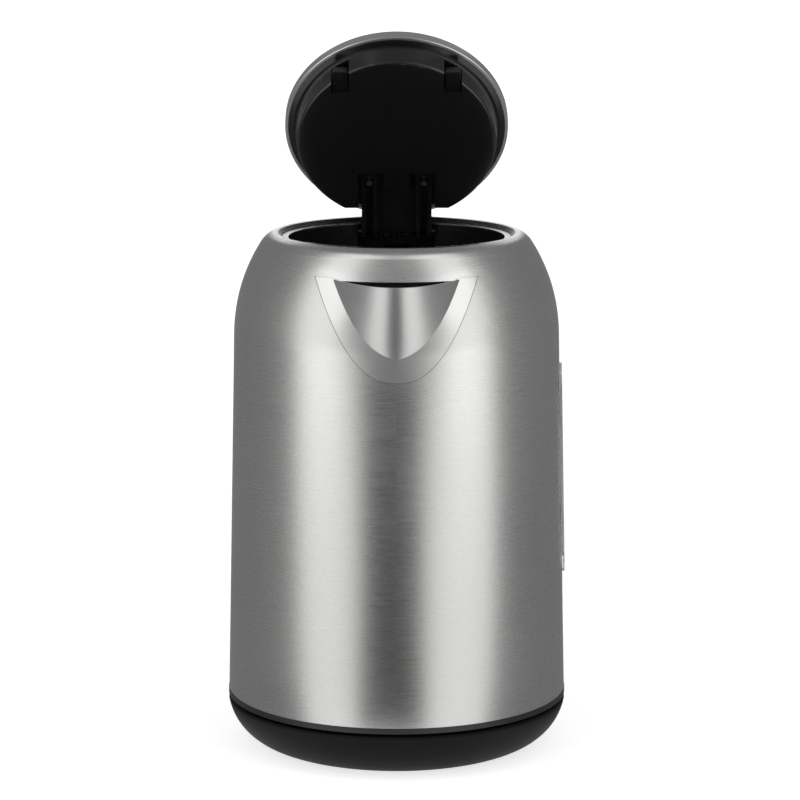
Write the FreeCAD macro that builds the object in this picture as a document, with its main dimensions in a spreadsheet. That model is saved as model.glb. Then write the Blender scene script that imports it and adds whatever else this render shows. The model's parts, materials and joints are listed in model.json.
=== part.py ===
import FreeCAD, Part
import Sketcher
import math
import os
import re

V = FreeCAD.Vector
doc = FreeCAD.newDocument("kettle")

# Driving dimensions: millimetres and degrees, front of the kettle towards -Y
DIMENSIONS = [
    ("base_radius", 77.5, "widest radius of the power base"),
    ("base_side_width", 17.8, "width of the rounded base side"),
    ("base_side_arc", 25.2, "radius of the rounded base side"),
    ("base_height", 21.7, "crest of the power base above the table"),
    ("base_crest_round", 1.3, "rounding of the base crest"),
    ("base_draft", 0.1, "crest of the base side inside its widest radius"),
    ("base_wall", 2.0, "wall of the base mouldings"),
    ("dish_depth", 2.7, "depth of the dish the kettle stands in"),
    ("base_rim_width", 5.0, "crest of the base outside the dish"),
    ("foot_inset", 15.7, "rubber foot ring inside the base side"),
    ("foot_width", 8.0, "width of the rubber foot ring"),
    ("foot_height", 2.4, "height of the rubber foot ring"),
    ("foot_lift", 1.0, "base underside above the table"),
    ("base_screw_inset", 13.0, "base screws inside the rubber foot ring"),
    ("base_screw_length", 10.0, "shank of the base screws"),
    ("gland_radius", 4.6, "outside radius of the cord gland"),
    ("gland_bore", 3.2, "bore of the cord gland"),
    ("gland_height", 8.5, "middle of the cord gland above the table"),
    ("gland_length", 16.0, "length of the cord gland"),
    ("gland_inside", 2.0, "cord gland inside the foot of the base side"),
    ("hub_radius", 15.8, "radius of the base connector post"),
    ("hub_rise", 11.0, "connector post above the dish floor"),
    ("hub_flange", 3.0, "flange of the connector post under the dish"),
    ("hub_chamfer", 1.0, "chamfer of the connector post"),
    ("hub_air", 2.0, "air under the connector post"),
    ("contact_lift", 2.0, "foot of the kettle contacts above the dish floor"),
    ("contact_seat", 0.8, "kettle contacts below the top of their housing"),
    ("stud_lift", 1.0, "foot of the base studs above the base underside"),
    ("stud_stop", 1.6, "top of the base studs below the dish floor"),
    ("ring_inner", 5.9, "middle radius of the inner contact ring"),
    ("ring_outer", 10.9, "middle radius of the outer contact ring"),
    ("ring_wall", 0.8, "wall of the contact rings"),
    ("ring_clearance", 0.8, "air each side of a contact ring in its groove"),
    ("pin_radius", 1.5, "radius of the earth pin"),
    ("stud_radius", 0.9, "radius of the base contact studs"),
    ("plug_clearance", 1.1, "radial air round the connector post"),
    ("plug_wall", 2.0, "wall of the kettle connector"),
    ("turn_gap", 0.4, "air between pieces that turn past each other"),
    ("snug_gap", 0.1, "air round a piece that drops into its seat"),
    ("slip_gap", 0.3, "air round a piece that slides into place"),
    ("skin_gap", 0.05, "air between a moulding and the steel it is fastened to"),
    ("overcut", 1.0, "extra reach of a cutting shape"),
    ("rest_gap", 0.4, "kettle underside above the dish floor"),
    ("skirt_gap", 1.4, "skirt ring above the base crest"),
    ("skirt_height", 2.5, "visible height of the skirt ring"),
    ("skirt_proud", 0.2, "skirt ring outside the steel"),
    ("cover_wall", 2.0, "wall of the kettle bottom cover"),
    ("cover_upstand", 7.0, "bottom cover upstand inside the steel"),
    ("cover_inset", 1.0, "bottom cover inside the dish radius"),
    ("cover_chamfer", 1.0, "chamfer of the bottom cover"),
    ("cover_screw_inset", 12.5, "bottom cover screws inside the dish radius"),
    ("cover_screw_length", 12.0, "shank of the bottom cover screws"),
    ("body_step", 0.2, "steel foot inside the widest radius of the base"),
    ("body_wall", 0.6, "steel wall"),
    ("body_taper", 3.6, "shoulder of the steel inside its foot"),
    ("body_height", 165.3, "height of the straight steel cone"),
    ("dome_arc", 78.8, "radius of the dome's lower arc"),
    ("dome_angle", 31.5, "sweep of the dome's lower arc"),
    ("crown_arc", 10.6, "radius of the dome's upper arc"),
    ("crown_angle", 36.4, "sweep of the dome's upper arc"),
    ("lip_width", 2.4, "width of the rounded lip round the mouth"),
    ("lip_arc", 3.0, "radius across the lip"),
    ("ledge_drop", 2.05, "lid ledge below the lip"),
    ("ledge_width", 2.7, "width of the ledge the lid rests on"),
    ("plate_height", 20.4, "heating plate above the steel foot"),
    ("plate_wall", 0.8, "thickness of the heating plate"),
    ("plate_flange", 6.0, "height of the heating plate flange"),
    ("spreader_radius", 48.0, "radius of the heat spreader"),
    ("spreader_wall", 3.0, "thickness of the heat spreader"),
    ("element_circle", 40.0, "middle radius of the heating element"),
    ("element_radius", 3.3, "radius of the heating element tube"),
    ("element_sweep", 300.0, "sweep of the heating element"),
    ("tail_radius", 1.65, "radius of the element tails"),
    ("tail_length", 14.0, "element tails below the heat spreader"),
    ("tail_angle", 2.0, "element tails inside the ends of the element"),
    ("control_radius", 24.0, "radius of the control housing"),
    ("control_screw_circle", 28.0, "radius of the control screw circle"),
    ("control_ear", 6.0, "height of the screw ears of the control housing"),
    ("control_ear_radius", 5.0, "radius of the screw ears of the control housing"),
    ("disc_offset", 10.0, "middle of a bimetal disc beside the axis"),
    ("disc_air", 0.5, "air above the bimetal discs"),
    ("disc_radius", 8.5, "radius of the bimetal discs"),
    ("disc_wall", 0.5, "thickness of the bimetal discs"),
    ("screw_radius", 1.5, "radius of the screw shanks"),
    ("screw_head_radius", 2.8, "radius of the screw heads"),
    ("screw_head", 1.6, "height of the screw heads"),
    ("boss_radius", 4.0, "radius of the screw bosses"),
    ("spout_half_width", 28.7, "half width of the spout at its lip"),
    ("spout_height", 34.5, "spout lip above the foot of the beak"),
    ("spout_lip_drop", 12.9, "spout lip below the mouth lip"),
    ("beak_out", 12.8, "spout tip outside the shoulder"),
    ("spout_wall", 0.8, "steel wall of the spout"),
    ("root_sink", 1.0, "root of the beak inside the steel line"),
    ("spout_power", 0.42, "power of the curve of the spout's outline"),
    ("flange_width", 6.7, "width of the welded flange beside the beak"),
    ("flange_foot", 9.0, "flange below the foot of the beak"),
    ("flange_rise", 0.6, "flange above the spout lip"),
    ("flange_wall", 0.6, "thickness of the welded flange"),
    ("spout_hole_margin", 2.0, "steel left inside the beak round the spout hole"),
    ("spout_hole_drop", 0.5, "spout hole below the spout lip"),
    ("gauge_bottom", 53.4, "gauge foot above the steel foot"),
    ("gauge_height", 97.0, "height of the water gauge"),
    ("gauge_width", 20.0, "width of the water gauge"),
    ("gauge_proud", 1.1, "gauge flange outside the steel"),
    ("gauge_margin", 3.2, "gauge flange beside the slot"),
    ("gauge_depth", 5.0, "gauge behind the steel"),
    ("gauge_seal_wall", 0.8, "thickness of the gauge seal"),
    ("gauge_frame_wall", 1.8, "thickness of the gauge retainer"),
    ("gauge_frame_margin", 1.0, "gauge retainer outside the gauge flange"),
    ("gauge_lift", 0.02, "gauge flange clear of the steel"),
    ("collar_wall", 2.6, "wall of the black collar in the mouth"),
    ("collar_height", 12.0, "height of the collar"),
    ("hinge_behind", 0.45, "lid hinge behind the rim"),
    ("hinge_drop", 7.1, "lid hinge below the mouth lip"),
    ("hinge_pin_radius", 1.5, "radius of the hinge pin"),
    ("knuckle_radius", 2.7, "outside radius of the hinge knuckles"),
    ("pin_fit", 0.05, "running clearance round pins"),
    ("hinge_box_inside", 18.0, "half width inside the hinge box"),
    ("hinge_box_wall", 2.4, "wall of the hinge box"),
    ("hinge_box_drop", 22.0, "foot of the hinge box below the mouth lip"),
    ("hinge_box_front", 3.5, "hinge box in front of the mouth edge"),
    ("hinge_room_front", 12.0, "room for the hinge in front of the mouth edge"),
    ("hinge_room_back", 1.0, "room for the hinge behind the knuckles"),
    ("box_back_wall", 2.0, "back wall of the hinge box"),
    ("spring_gap", 0.4, "air between hinge pin and spring"),
    ("spring_wire", 1.1, "wire of the hinge spring"),
    ("spring_side", 0.8, "air between hinge spring and hinge legs"),
    ("plug_margin", 3.9, "lid plug inside the lid cover"),
    ("lid_wall", 0.6, "steel wall of the lid cover"),
    ("lid_side", 4.2, "height of the lid cover side"),
    ("lid_crown", 2.2, "rise of the lid cover to its middle"),
    ("lid_round", 1.4, "rounding of the lid cover edge"),
    ("lid_hem", 1.4, "width of the rolled edge under the lid"),
    ("lid_chamfer", 0.3, "chamfer of the lid cover's lower edge"),
    ("lid_gap", 0.5, "air between lid and mouth"),
    ("lid_open", 58.0, "opening angle of the lid"),
    ("plug_flange_wall", 2.0, "thickness of the lid plug flange"),
    ("plug_draft", 1.8, "lid plug narrower at its face than at its flange"),
    ("plug_depth", 11.4, "depth of the lid plug below the lid edge"),
    ("plug_skin", 1.8, "wall of the lid plug"),
    ("plug_round", 1.0, "rounding of the lid plug's face"),
    ("plug_step", 0.6, "step of the lid plug below the lid edge"),
    ("plug_lip", 0.2, "outer lip of the lid plug below the lid edge"),
    ("roof_wall", 1.2, "roof over the flat back of the lid plug"),
    ("flat_width", 13.1, "flat back of the lid plug inside the lid cover"),
    ("pocket_half_width", 17.7, "half width of the hinge pocket in the plug"),
    ("pocket_length", 20.0, "length of the hinge pocket"),
    ("pocket_depth", 7.0, "depth of the hinge pocket"),
    ("leg_inner", 8.9, "inner side of the hinge legs"),
    ("leg_outer", 16.2, "outer side of the hinge legs"),
    ("leg_rib", 1.9, "thickness of the ribs of the hinge legs"),
    ("leg_wall", 5.0, "depth of the hinge legs"),
    ("leg_web", 2.0, "thickness of the web between the ribs"),
    ("leg_front", 2.0, "hinge legs behind the front of the pocket"),
    ("leg_bend", 6.0, "radius of the elbow of the hinge legs"),
    ("notch_side", 0.6, "air beside the hinge legs in the notch of the ledge"),
    ("notch_stop", 0.4, "bottom of the ledge notch in front of the mouth edge"),
    ("plate_stop", 4.6, "end of the arm plate in front of and below the hinge"),
    ("lid_screw_length", 6.0, "shank of the lid screws"),
    ("lid_screw_place", 8.0, "lid screws behind the front of the pocket"),
    ("lid_screw_foot", 4.0, "foot of the lid screws below the pocket's roof"),
    ("elbow_front", 6.5, "elbow of the hinge legs in front of the hinge, lid closed"),
    ("elbow_drop", 16.6, "elbow of the hinge legs below the mouth lip, lid closed"),
    ("latch_travel", 3.0, "travel of the lid latch"),
    ("latch_wall", 2.4, "thickness of the latch slide"),
    ("latch_width", 12.0, "width of the latch slide"),
    ("hook_angle", 34.0, "hooks beside the front of the plug"),
    ("hook_width", 7.0, "width of a latch hook"),
    ("hook_reach", 1.1, "front of a latch hook outside its place on the plug"),
    ("hook_height", 5.0, "height of a latch hook"),
    ("hook_root", 9.0, "latch hook behind its place on the plug"),
    ("hook_gap", 0.5, "air beside a latch hook"),
    ("latch_gap", 0.4, "air beside the latch tail"),
    ("latch_back", 9.0, "end of the latch in front of the plug's flat back"),
    ("bar_lap", 1.0, "latch bar overlapping the roots of the hooks"),
    ("handle_width", 28.0, "width of the handle"),
    ("handle_depth", 22.0, "depth of the handle"),
    ("handle_wall", 2.4, "wall of the handle mouldings"),
    ("handle_round", 7.0, "rounding of the handle back"),
    ("grip_wall", 3.0, "thickness of the grip strip"),
    ("grip_round", 2.4, "rounding of the grip strip"),
    ("grip_out", 47.3, "middle of the grip behind the shoulder"),
    ("handle_corner", 20.0, "bend radius of the handle"),
    ("handle_top_drop", 23.0, "upper arm of the handle below the mouth lip"),
    ("handle_low", 23.0, "lower arm of the handle above the steel foot"),
    ("steam_radius", 2.7, "outside radius of the steam tube"),
    ("steam_wall", 0.8, "wall of the steam tube"),
    ("steam_offset", 4.9, "steam tube inside the handle's middle line"),
    ("window_half_width", 6.0, "half width of the steam window in the steel"),
    ("window_half_height", 9.0, "half height of the steam window in the steel"),
    ("button_out", 17.3, "middle of the lid button behind the shoulder"),
    ("button_length", 16.0, "length of the lid button"),
    ("button_width", 13.0, "width of the lid button"),
    ("button_proud", 2.6, "lid button above the handle"),
    ("button_gap", 0.4, "air round the lid button"),
    ("button_skirt", 1.6, "flange of the lid button under the handle wall"),
    ("lever_out", 5.3, "pivot of the release lever behind the shoulder"),
    ("lever_half_width", 2.0, "half width of the release lever"),
    ("lever_wall", 2.4, "depth of the release lever"),
    ("lever_drop", 6.0, "release lever below the handle's upper wall"),
    ("lever_reach", 9.0, "release lever inside the steel shoulder"),
    ("lever_boss", 2.6, "radius of the boss on the release lever"),
    ("lever_pin_radius", 1.2, "radius of the lever pin"),
    ("lever_pin_stop", 1.0, "lever pin inside the handle's sides"),
    ("thumb_behind", 5.0, "back of the lever's thumb behind the button's middle"),
    ("thumb_front", 3.0, "front of the lever's thumb behind the button's middle"),
    ("button_flange_wall", 1.0, "thickness of the lid button's flange"),
    ("switch_out", 10.7, "switch pivot behind the steel foot"),
    ("switch_height", 7.4, "switch pivot above the steel foot"),
    ("switch_width", 22.0, "width of the switch paddle"),
    ("switch_reach", 22.0, "switch paddle behind its pivot"),
    ("switch_arm", 30.0, "inner arm of the switch in front of its pivot"),
    ("switch_arm_width", 6.0, "width of the inner arm of the switch"),
    ("switch_wall", 3.2, "thickness of the switch paddle"),
    ("switch_hub_radius", 3.2, "radius of the switch hub round its axle"),
    ("switch_hub_reach", 3.0, "switch paddle in front of its pivot"),
    ("switch_drop", 1.0, "fall of the switch paddle to its edge"),
    ("switch_arm_wall", 2.0, "thickness of the inner arm of the switch"),
    ("switch_air", 1.0, "air beside the inner arm of the switch"),
    ("slot_depth", 7.6, "depth of the switch slot through the back"),
    ("slot_half_height", 4.0, "half height of the switch slot"),
    ("ear_wall", 2.6, "thickness of the switch ears"),
    ("ear_reach", 5.0, "switch ears behind the switch pivot"),
    ("ear_lap", 8.0, "switch ears inside the handle's lower arm"),
    ("filter_out", 9.1, "back of the spout filter in front of the mouth"),
    ("filter_half_width", 20.0, "half width of the spout filter"),
    ("filter_height", 30.0, "height of the spout filter"),
    ("filter_wall", 2.0, "thickness of the spout filter"),
    ("filter_border", 3.0, "border of the filter frame"),
    ("mesh_wall", 0.5, "thickness of the filter mesh"),
    ("filter_gap", 0.4, "air round the filter in its rails"),
    ("rail_wall", 1.8, "wall of the filter rails"),
    ("rail_lap", 1.6, "filter rails in front of the filter's edge"),
    ("rail_share", 0.7, "length of the rails as a share of the filter height"),
    ("bridge_wall", 2.0, "thickness of the bridge between the rails"),
    ("bridge_reach", 10.0, "bridge behind the mouth's front"),
]

# Heights and radii that follow from the driving dimensions
PLACES = [
    ("dish_radius", "base_radius - base_rim_width"),
    ("base_floor_radius", "base_radius - base_side_width"),
    ("foot_radius", "base_floor_radius - foot_inset"),
    ("base_screw_circle", "foot_radius - base_screw_inset"),
    ("cover_screw_circle", "dish_radius - cover_screw_inset"),
    ("body_foot_radius", "base_radius - body_step"),
    ("shoulder_radius", "body_foot_radius - body_taper"),
    ("spout_reach", "shoulder_radius + beak_out"),
    ("grip_y", "shoulder_radius + grip_out"),
    ("button_y", "shoulder_radius + button_out"),
    ("lever_pivot_y", "shoulder_radius + lever_out"),
    ("switch_y", "body_foot_radius + switch_out"),
    ("dish_floor", "base_height - dish_depth"),
    ("kettle_floor", "dish_floor + rest_gap"),
    ("hub_top", "dish_floor + hub_rise"),
    ("skirt_bottom", "base_height + skirt_gap"),
    ("body_foot", "skirt_bottom + skirt_height"),
    ("shoulder", "body_foot + body_height"),
    ("cone_angle", "atan((body_foot_radius - shoulder_radius) / body_height) / 1 deg"),
    ("dome_r", "shoulder_radius - dome_arc * cos(cone_angle)"),
    ("dome_z", "shoulder - dome_arc * sin(cone_angle)"),
    ("break_angle", "cone_angle + dome_angle"),
    ("crown_r", "dome_r + (dome_arc - crown_arc) * cos(break_angle)"),
    ("crown_z", "dome_z + (dome_arc - crown_arc) * sin(break_angle)"),
    ("rim_angle", "break_angle + crown_angle"),
    ("rim_radius", "crown_r + crown_arc * cos(rim_angle)"),
    ("rim_z", "crown_z + crown_arc * sin(rim_angle)"),
    ("ledge_z", "rim_z - ledge_drop"),
    ("ledge_radius", "rim_radius - lip_width - ledge_drop"),
    ("mouth_radius", "ledge_radius - ledge_width"),
    ("filter_y", "mouth_radius + filter_out"),
    ("lid_radius", "ledge_radius - lid_gap"),
    ("plug_top_radius", "lid_radius - plug_margin"),
    ("plug_face_radius", "plug_top_radius - plug_draft"),
    ("plug_flat", "lid_radius - flat_width"),
    ("pocket_front", "plug_flat - pocket_length"),
    ("hinge_y", "rim_radius + hinge_behind"),
    ("elbow_y", "hinge_y - elbow_front"),
    ("collar_top", "ledge_z - body_wall"),
    ("collar_foot", "collar_top - collar_height"),
    ("collar_radius", "mouth_radius + collar_wall"),
    ("plate_z", "body_foot + plate_height"),
    ("plate_under", "plate_z - plate_wall"),
    ("plate_radius", "body_foot_radius - body_wall - plate_height * tan(cone_angle) - skin_gap"),
    ("spreader_under", "plate_under - spreader_wall"),
    ("connector_top", "hub_top + hub_chamfer + plug_wall"),
    ("connector_radius", "hub_radius + plug_clearance + plug_wall"),
    ("control_cavity", "connector_radius + turn_gap"),
    ("control_top", "spreader_under - disc_wall - disc_air"),
    ("hinge_z", "rim_z - hinge_drop"),
    ("elbow_z", "rim_z - elbow_drop"),
    ("lid_edge", "ledge_z + lid_gap"),
    ("lid_top", "lid_edge + lid_side + lid_round"),
    ("plug_flange_top", "lid_edge + plug_flange_wall"),
    ("plug_face", "lid_edge - plug_depth"),
    ("latch_z", "plug_face + plug_skin + slip_gap"),
    ("spout_z", "rim_z - spout_lip_drop"),
    ("beak_foot", "spout_z - spout_height"),
    ("handle_top", "rim_z - handle_top_drop"),
    ("handle_bottom", "body_foot + handle_low"),
    ("handle_back", "handle_top + handle_depth / 2"),
    ("lever_z", "handle_back - handle_wall - lever_drop"),
    ("switch_z", "body_foot + switch_height"),
    ("gauge_foot", "body_foot + gauge_bottom"),
    ("filter_top", "collar_foot - filter_gap"),
    ("base_crest", "base_radius - base_draft"),
    ("base_underside", "foot_lift + base_wall"),
    ("base_opening", "base_floor_radius - base_wall * 1.2"),
    ("contact_foot", "dish_floor + contact_lift"),
    ("contact_top", "connector_top - contact_seat"),
    ("cover_side", "dish_radius - cover_inset"),
    ("cover_rim", "body_foot_radius - body_wall - slip_gap"),
    ("button_under", "handle_back - handle_wall - button_gap"),
    ("filter_front", "-filter_y - filter_wall"),
    ("rail_front", "filter_front - filter_gap - rail_wall"),
    ("rail_outer", "filter_half_width + filter_gap + rail_wall"),
    ("pocket_roof", "plug_face + pocket_depth"),
    ("leg_start", "pocket_front + leg_front"),
    ("roof_under", "lid_edge - roof_wall"),
    ("hook_x", "plug_face_radius * sin(hook_angle)"),
    ("hook_y", "-plug_face_radius * cos(hook_angle)"),
]


def make_sheet(name, rows):
    """A sheet with one named value in each row."""
    sheet = doc.addObject("Spreadsheet::Sheet", name)
    for line, (alias, content, note) in enumerate(rows, 1):
        sheet.set(f"A{line}", note)
        sheet.set(f"B{line}", content)
        sheet.setAlias(f"B{line}", alias)
    doc.recompute()
    return sheet


DIM_NAMES = {row[0] for row in DIMENSIONS}
PLACE_NAMES = {row[0] for row in PLACES}


def live(text):
    """The formula with each name pointing at its sheet."""
    def owner(match):
        word = match.group(0)
        if word in DIM_NAMES:
            return "dims." + word
        if word in PLACE_NAMES:
            return "places." + word
        return word
    return re.sub(r"[A-Za-z_][A-Za-z_0-9]*", owner, str(text))


dims = make_sheet("dims", [(alias, str(size), note) for alias, size, note in DIMENSIONS])
places = make_sheet("places", [(alias, "=" + live(formula), formula) for alias, formula in PLACES])


def num(text):
    """The present value of a formula."""
    return float(dims.evalExpression(live(text)))


def bind(thing, prop, formula):
    thing.setExpression(prop, live(formula))


# Sketched features

def draw(sketch, outline, closed=True):
    """Lines and arcs through (across, up, radius) corners; a positive radius turns left."""
    spots = [V(num(corner[0]), num(corner[1]), 0) for corner in outline]
    count = len(outline)
    ends = []
    for index in range(count if closed else count - 1):
        begin = spots[index]
        target = (index + 1) % count
        end = spots[target]
        if len(outline[target]) == 2:
            geo = sketch.addGeometry(Part.LineSegment(begin, end))
            ends.append((geo, 1, 2))
            continue
        radius = num(outline[target][2])
        chord = end - begin
        rise = math.sqrt(max(radius ** 2 - chord.Length ** 2 / 4, 0))
        left = V(-chord.y, chord.x, 0).normalize()
        centre = (begin + end) / 2 + left * math.copysign(rise, radius)
        first, last = (begin, end) if radius > 0 else (end, begin)
        angles = [math.atan2(spot.y - centre.y, spot.x - centre.x) for spot in (first, last)]
        geo = sketch.addGeometry(Part.ArcOfCircle(Part.Circle(centre, V(0, 0, 1), abs(radius)), *angles))
        ends.append((geo, 1, 2) if radius > 0 else (geo, 2, 1))
        line = sketch.addConstraint(Sketcher.Constraint("Radius", geo, abs(radius)))
        bind(sketch, f"Constraints[{line}]", f"abs({outline[target][2]})")
    for index, (geo, start, finish) in enumerate(ends):
        if closed or index + 1 < len(ends):
            following = ends[(index + 1) % len(ends)]
            sketch.addConstraint(Sketcher.Constraint("Coincident", geo, finish, following[0], following[1]))
    corners = [(geo, start) for geo, start, finish in ends]
    if not closed:
        corners.append((ends[-1][0], ends[-1][2]))
    for (geo, end), corner, spot in zip(corners, outline, spots):
        for kind, formula, size in (("DistanceX", corner[0], spot.x), ("DistanceY", corner[1], spot.y)):
            line = sketch.addConstraint(Sketcher.Constraint(kind, -1, 1, geo, end, size))
            bind(sketch, f"Constraints[{line}]", formula)


def add_sketch(body, plane, outline, offset="0", closed=True):
    sketch = body.newObject("Sketcher::SketchObject", body.Name + "_sketch")
    support = [item for item in body.Origin.OriginFeatures if item.Role == plane][0]
    sketch.AttachmentSupport = [(support, "")]
    sketch.MapMode = "FlatFace"
    bind(sketch, "AttachmentOffset.Base.z", offset)
    draw(sketch, outline, closed)
    return sketch


def turned(name, outline, angle=360):
    """A body turned round the kettle axis from (radius, height) corners."""
    body = doc.addObject("PartDesign::Body", name)
    sketch = add_sketch(body, "XZ_Plane", outline)
    feature = body.newObject("PartDesign::Revolution", name + "_turn")
    feature.Profile = sketch
    feature.ReferenceAxis = (sketch, ["V_Axis"])
    feature.Angle = angle
    return body


def padded(name, plane, outline, length, offset="0", symmetric=False):
    """A body padded from a closed outline on one of the origin planes."""
    body = doc.addObject("PartDesign::Body", name)
    sketch = add_sketch(body, plane, outline, offset)
    feature = body.newObject("PartDesign::Pad", name + "_pad")
    feature.Profile = sketch
    if symmetric:
        feature.SideType = "Symmetric"
    bind(feature, "Length", length)
    return body


def swept(name, section, offset, path):
    """A body swept along a path in the middle plane from a section across its start."""
    body = doc.addObject("PartDesign::Body", name)
    profile = add_sketch(body, "XZ_Plane", section, offset)
    spine = add_sketch(body, "YZ_Plane", path, closed=False)
    feature = body.newObject("PartDesign::AdditivePipe", name + "_pipe")
    feature.Profile = profile
    feature.Spine = (spine, [])
    return body


# Primitives and booleans

AXES = {
    "X": FreeCAD.Rotation(V(0, 1, 0), 90),
    "Y": FreeCAD.Rotation(V(1, 0, 0), -90),
    "Z": FreeCAD.Rotation(),
}


def rod(name, radius, length, at, along="Z"):
    """A cylinder that starts at a point and runs along +X, +Y or +Z."""
    thing = doc.addObject("Part::Cylinder", name)
    thing.Placement = FreeCAD.Placement(V(), AXES[along])
    bind(thing, "Radius", radius)
    bind(thing, "Height", length)
    for letter, formula in zip("xyz", at):
        bind(thing, "Placement.Base." + letter, formula)
    return thing


def block(name, x_span, y_span, z_span):
    """A box between two formulas on each axis."""
    thing = doc.addObject("Part::Box", name)
    for prop, letter, (low, high) in zip(("Length", "Width", "Height"), "xyz", (x_span, y_span, z_span)):
        bind(thing, prop, f"({high}) - ({low})")
        bind(thing, "Placement.Base." + letter, low)
    return thing


def fuse(name, *things):
    thing = doc.addObject("Part::MultiFuse", name)
    thing.Shapes = list(things)
    return thing


def cut(name, base, *tools):
    thing = doc.addObject("Part::Cut", name)
    thing.Base = base
    thing.Tool = tools[0] if len(tools) == 1 else fuse(name + "_tools", *tools)
    return thing


def common(name, *things):
    thing = doc.addObject("Part::MultiCommon", name)
    thing.Shapes = list(things)
    return thing


def group(name, things):
    thing = doc.addObject("Part::Compound", name)
    thing.Links = list(things)
    return thing


def both(span):
    """A span as wide to the left of the middle plane as to the right."""
    return (f"-({span})", span)


def on_circle(radius, angle):
    """X and Y formulas of a point on a circle; angle 0 is at the back."""
    return f"({radius}) * sin({angle})", f"({radius}) * cos({angle})"


NODES = []


def node(label, thing):
    """Names a finished sub-part and lists it for writing."""
    thing.Label = label
    NODES.append(thing)
    return thing


def screws(name, circle, angles, foot, length):
    """Round-head screws standing on a circle with their heads down."""
    made = []
    for index, angle in enumerate(angles):
        x, y = on_circle(circle, angle)
        shank = rod(f"{name}_shank{index}", "screw_radius", length, (x, y, foot))
        head = rod(f"{name}_head{index}", "screw_head_radius", "screw_head", (x, y, f"({foot}) - screw_head"))
        made.append(fuse(f"{name}_{index}", shank, head))
    return group(name, made)


def rods_on_circle(name, radius, circle, angles, foot, length):
    made = []
    for index, angle in enumerate(angles):
        made.append(rod(f"{name}_{index}", radius, length, (*on_circle(circle, angle), foot)))
    return fuse(name, *made)


THIRDS = ("60", "180", "300")


# Power base

def base_side(inset):
    """Side of the base, moved inwards by an inset, from the underside to the crest."""
    return [
        (f"base_floor_radius - ({inset}) * 0.6", "foot_lift"),
        (f"base_crest - ({inset})", "base_height - base_crest_round", f"base_side_arc - ({inset})"),
    ]


base_cover_blank = turned("base_cover_blank", base_side("0") + [
    ("base_crest - base_crest_round", "base_height", "base_crest_round"),
    ("dish_radius + cover_inset", "base_height"),
    ("dish_radius", "dish_floor"),
    ("hub_radius + snug_gap", "dish_floor"),
    ("hub_radius + snug_gap", "dish_floor - base_wall"),
    ("dish_radius - base_wall", "dish_floor - base_wall"),
    ("base_crest - base_wall", "dish_floor - base_wall"),
    ("base_opening", "foot_lift", "base_wall - base_side_arc"),
])
base_bosses = rods_on_circle("base_bosses", "boss_radius", "base_screw_circle", THIRDS,
                             "base_underside", "dish_floor - base_wall / 2 - base_underside")
base_screw_set = screws("base_screw_set", "base_screw_circle", THIRDS, "foot_lift + base_wall / 2",
                        "base_screw_length")
gland_hole = rod("gland_hole", "gland_radius", "base_radius",
                 ("0", "base_floor_radius - gland_length", "gland_height"), "Y")
node("base_top_cover", cut("base_top_cover", fuse("base_cover_bossed", base_cover_blank, base_bosses),
                           base_screw_set, gland_hole))

base_plate = turned("base_plate", [
    ("0", "foot_lift"),
    ("base_opening - slip_gap", "foot_lift"),
    ("base_opening - slip_gap", "base_underside"),
    ("0", "base_underside"),
])
foot_ring = turned("foot_ring", [
    ("foot_radius - foot_width / 2", "0"),
    ("foot_radius + foot_width / 2", "0"),
    ("foot_radius + foot_width / 2", "foot_height"),
    ("foot_radius - foot_width / 2", "foot_height"),
])
node("base_bottom_cover", cut("base_bottom_cover", base_plate, base_screw_set, foot_ring))
node("base_foot_ring", foot_ring)
node("base_screws", base_screw_set)

gland_foot = "base_floor_radius - gland_inside"
gland_tube = rod("gland_tube", "gland_radius", "gland_length", ("0", gland_foot, "gland_height"), "Y")
gland_bore_tool = rod("gland_bore_tool", "gland_bore", "gland_length + 2 * overcut",
                      ("0", f"{gland_foot} - overcut", "gland_height"), "Y")
node("cord_gland", cut("cord_gland", gland_tube, gland_bore_tool))


def contact_groove(name, radius):
    half = "(ring_wall / 2 + ring_clearance)"
    return turned(name, [
        (f"{radius} - {half}", "dish_floor - overcut"),
        (f"{radius} + {half}", "dish_floor - overcut"),
        (f"{radius} + {half}", "hub_top + overcut"),
        (f"{radius} - {half}", "hub_top + overcut"),
    ])


hub = turned("hub", [
    ("0", "base_underside + hub_air"),
    ("hub_radius + hub_flange", "base_underside + hub_air"),
    ("hub_radius + hub_flange", "dish_floor - base_wall"),
    ("hub_radius", "dish_floor - base_wall"),
    ("hub_radius", "hub_top - hub_chamfer"),
    ("hub_radius - hub_chamfer", "hub_top"),
    ("0", "hub_top"),
])
earth_hole = rod("earth_hole", "pin_radius + ring_clearance", "hub_rise + 2 * overcut",
                 ("0", "0", "dish_floor - overcut"))
stud_places = (("0", "0"), on_circle("ring_inner", "90"), on_circle("ring_outer", "270"))
studs = group("studs", [
    rod(f"stud{index}", "stud_radius", "dish_floor - base_underside - stud_stop + stud_lift",
        (x, y, "base_underside + stud_lift"))
    for index, (x, y) in enumerate(stud_places)
])
node("base_connector", cut("base_connector", hub, earth_hole, contact_groove("groove_inner", "ring_inner"),
                           contact_groove("groove_outer", "ring_outer"), studs))
node("base_contacts", studs)

# Kettle half of the connector, round so that it works at any turn

def contact_ring(name, radius):
    return turned(name, [
        (f"{radius} - ring_wall / 2", "contact_foot"),
        (f"{radius} + ring_wall / 2", "contact_foot"),
        (f"{radius} + ring_wall / 2", "contact_top"),
        (f"{radius} - ring_wall / 2", "contact_top"),
    ])


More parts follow.
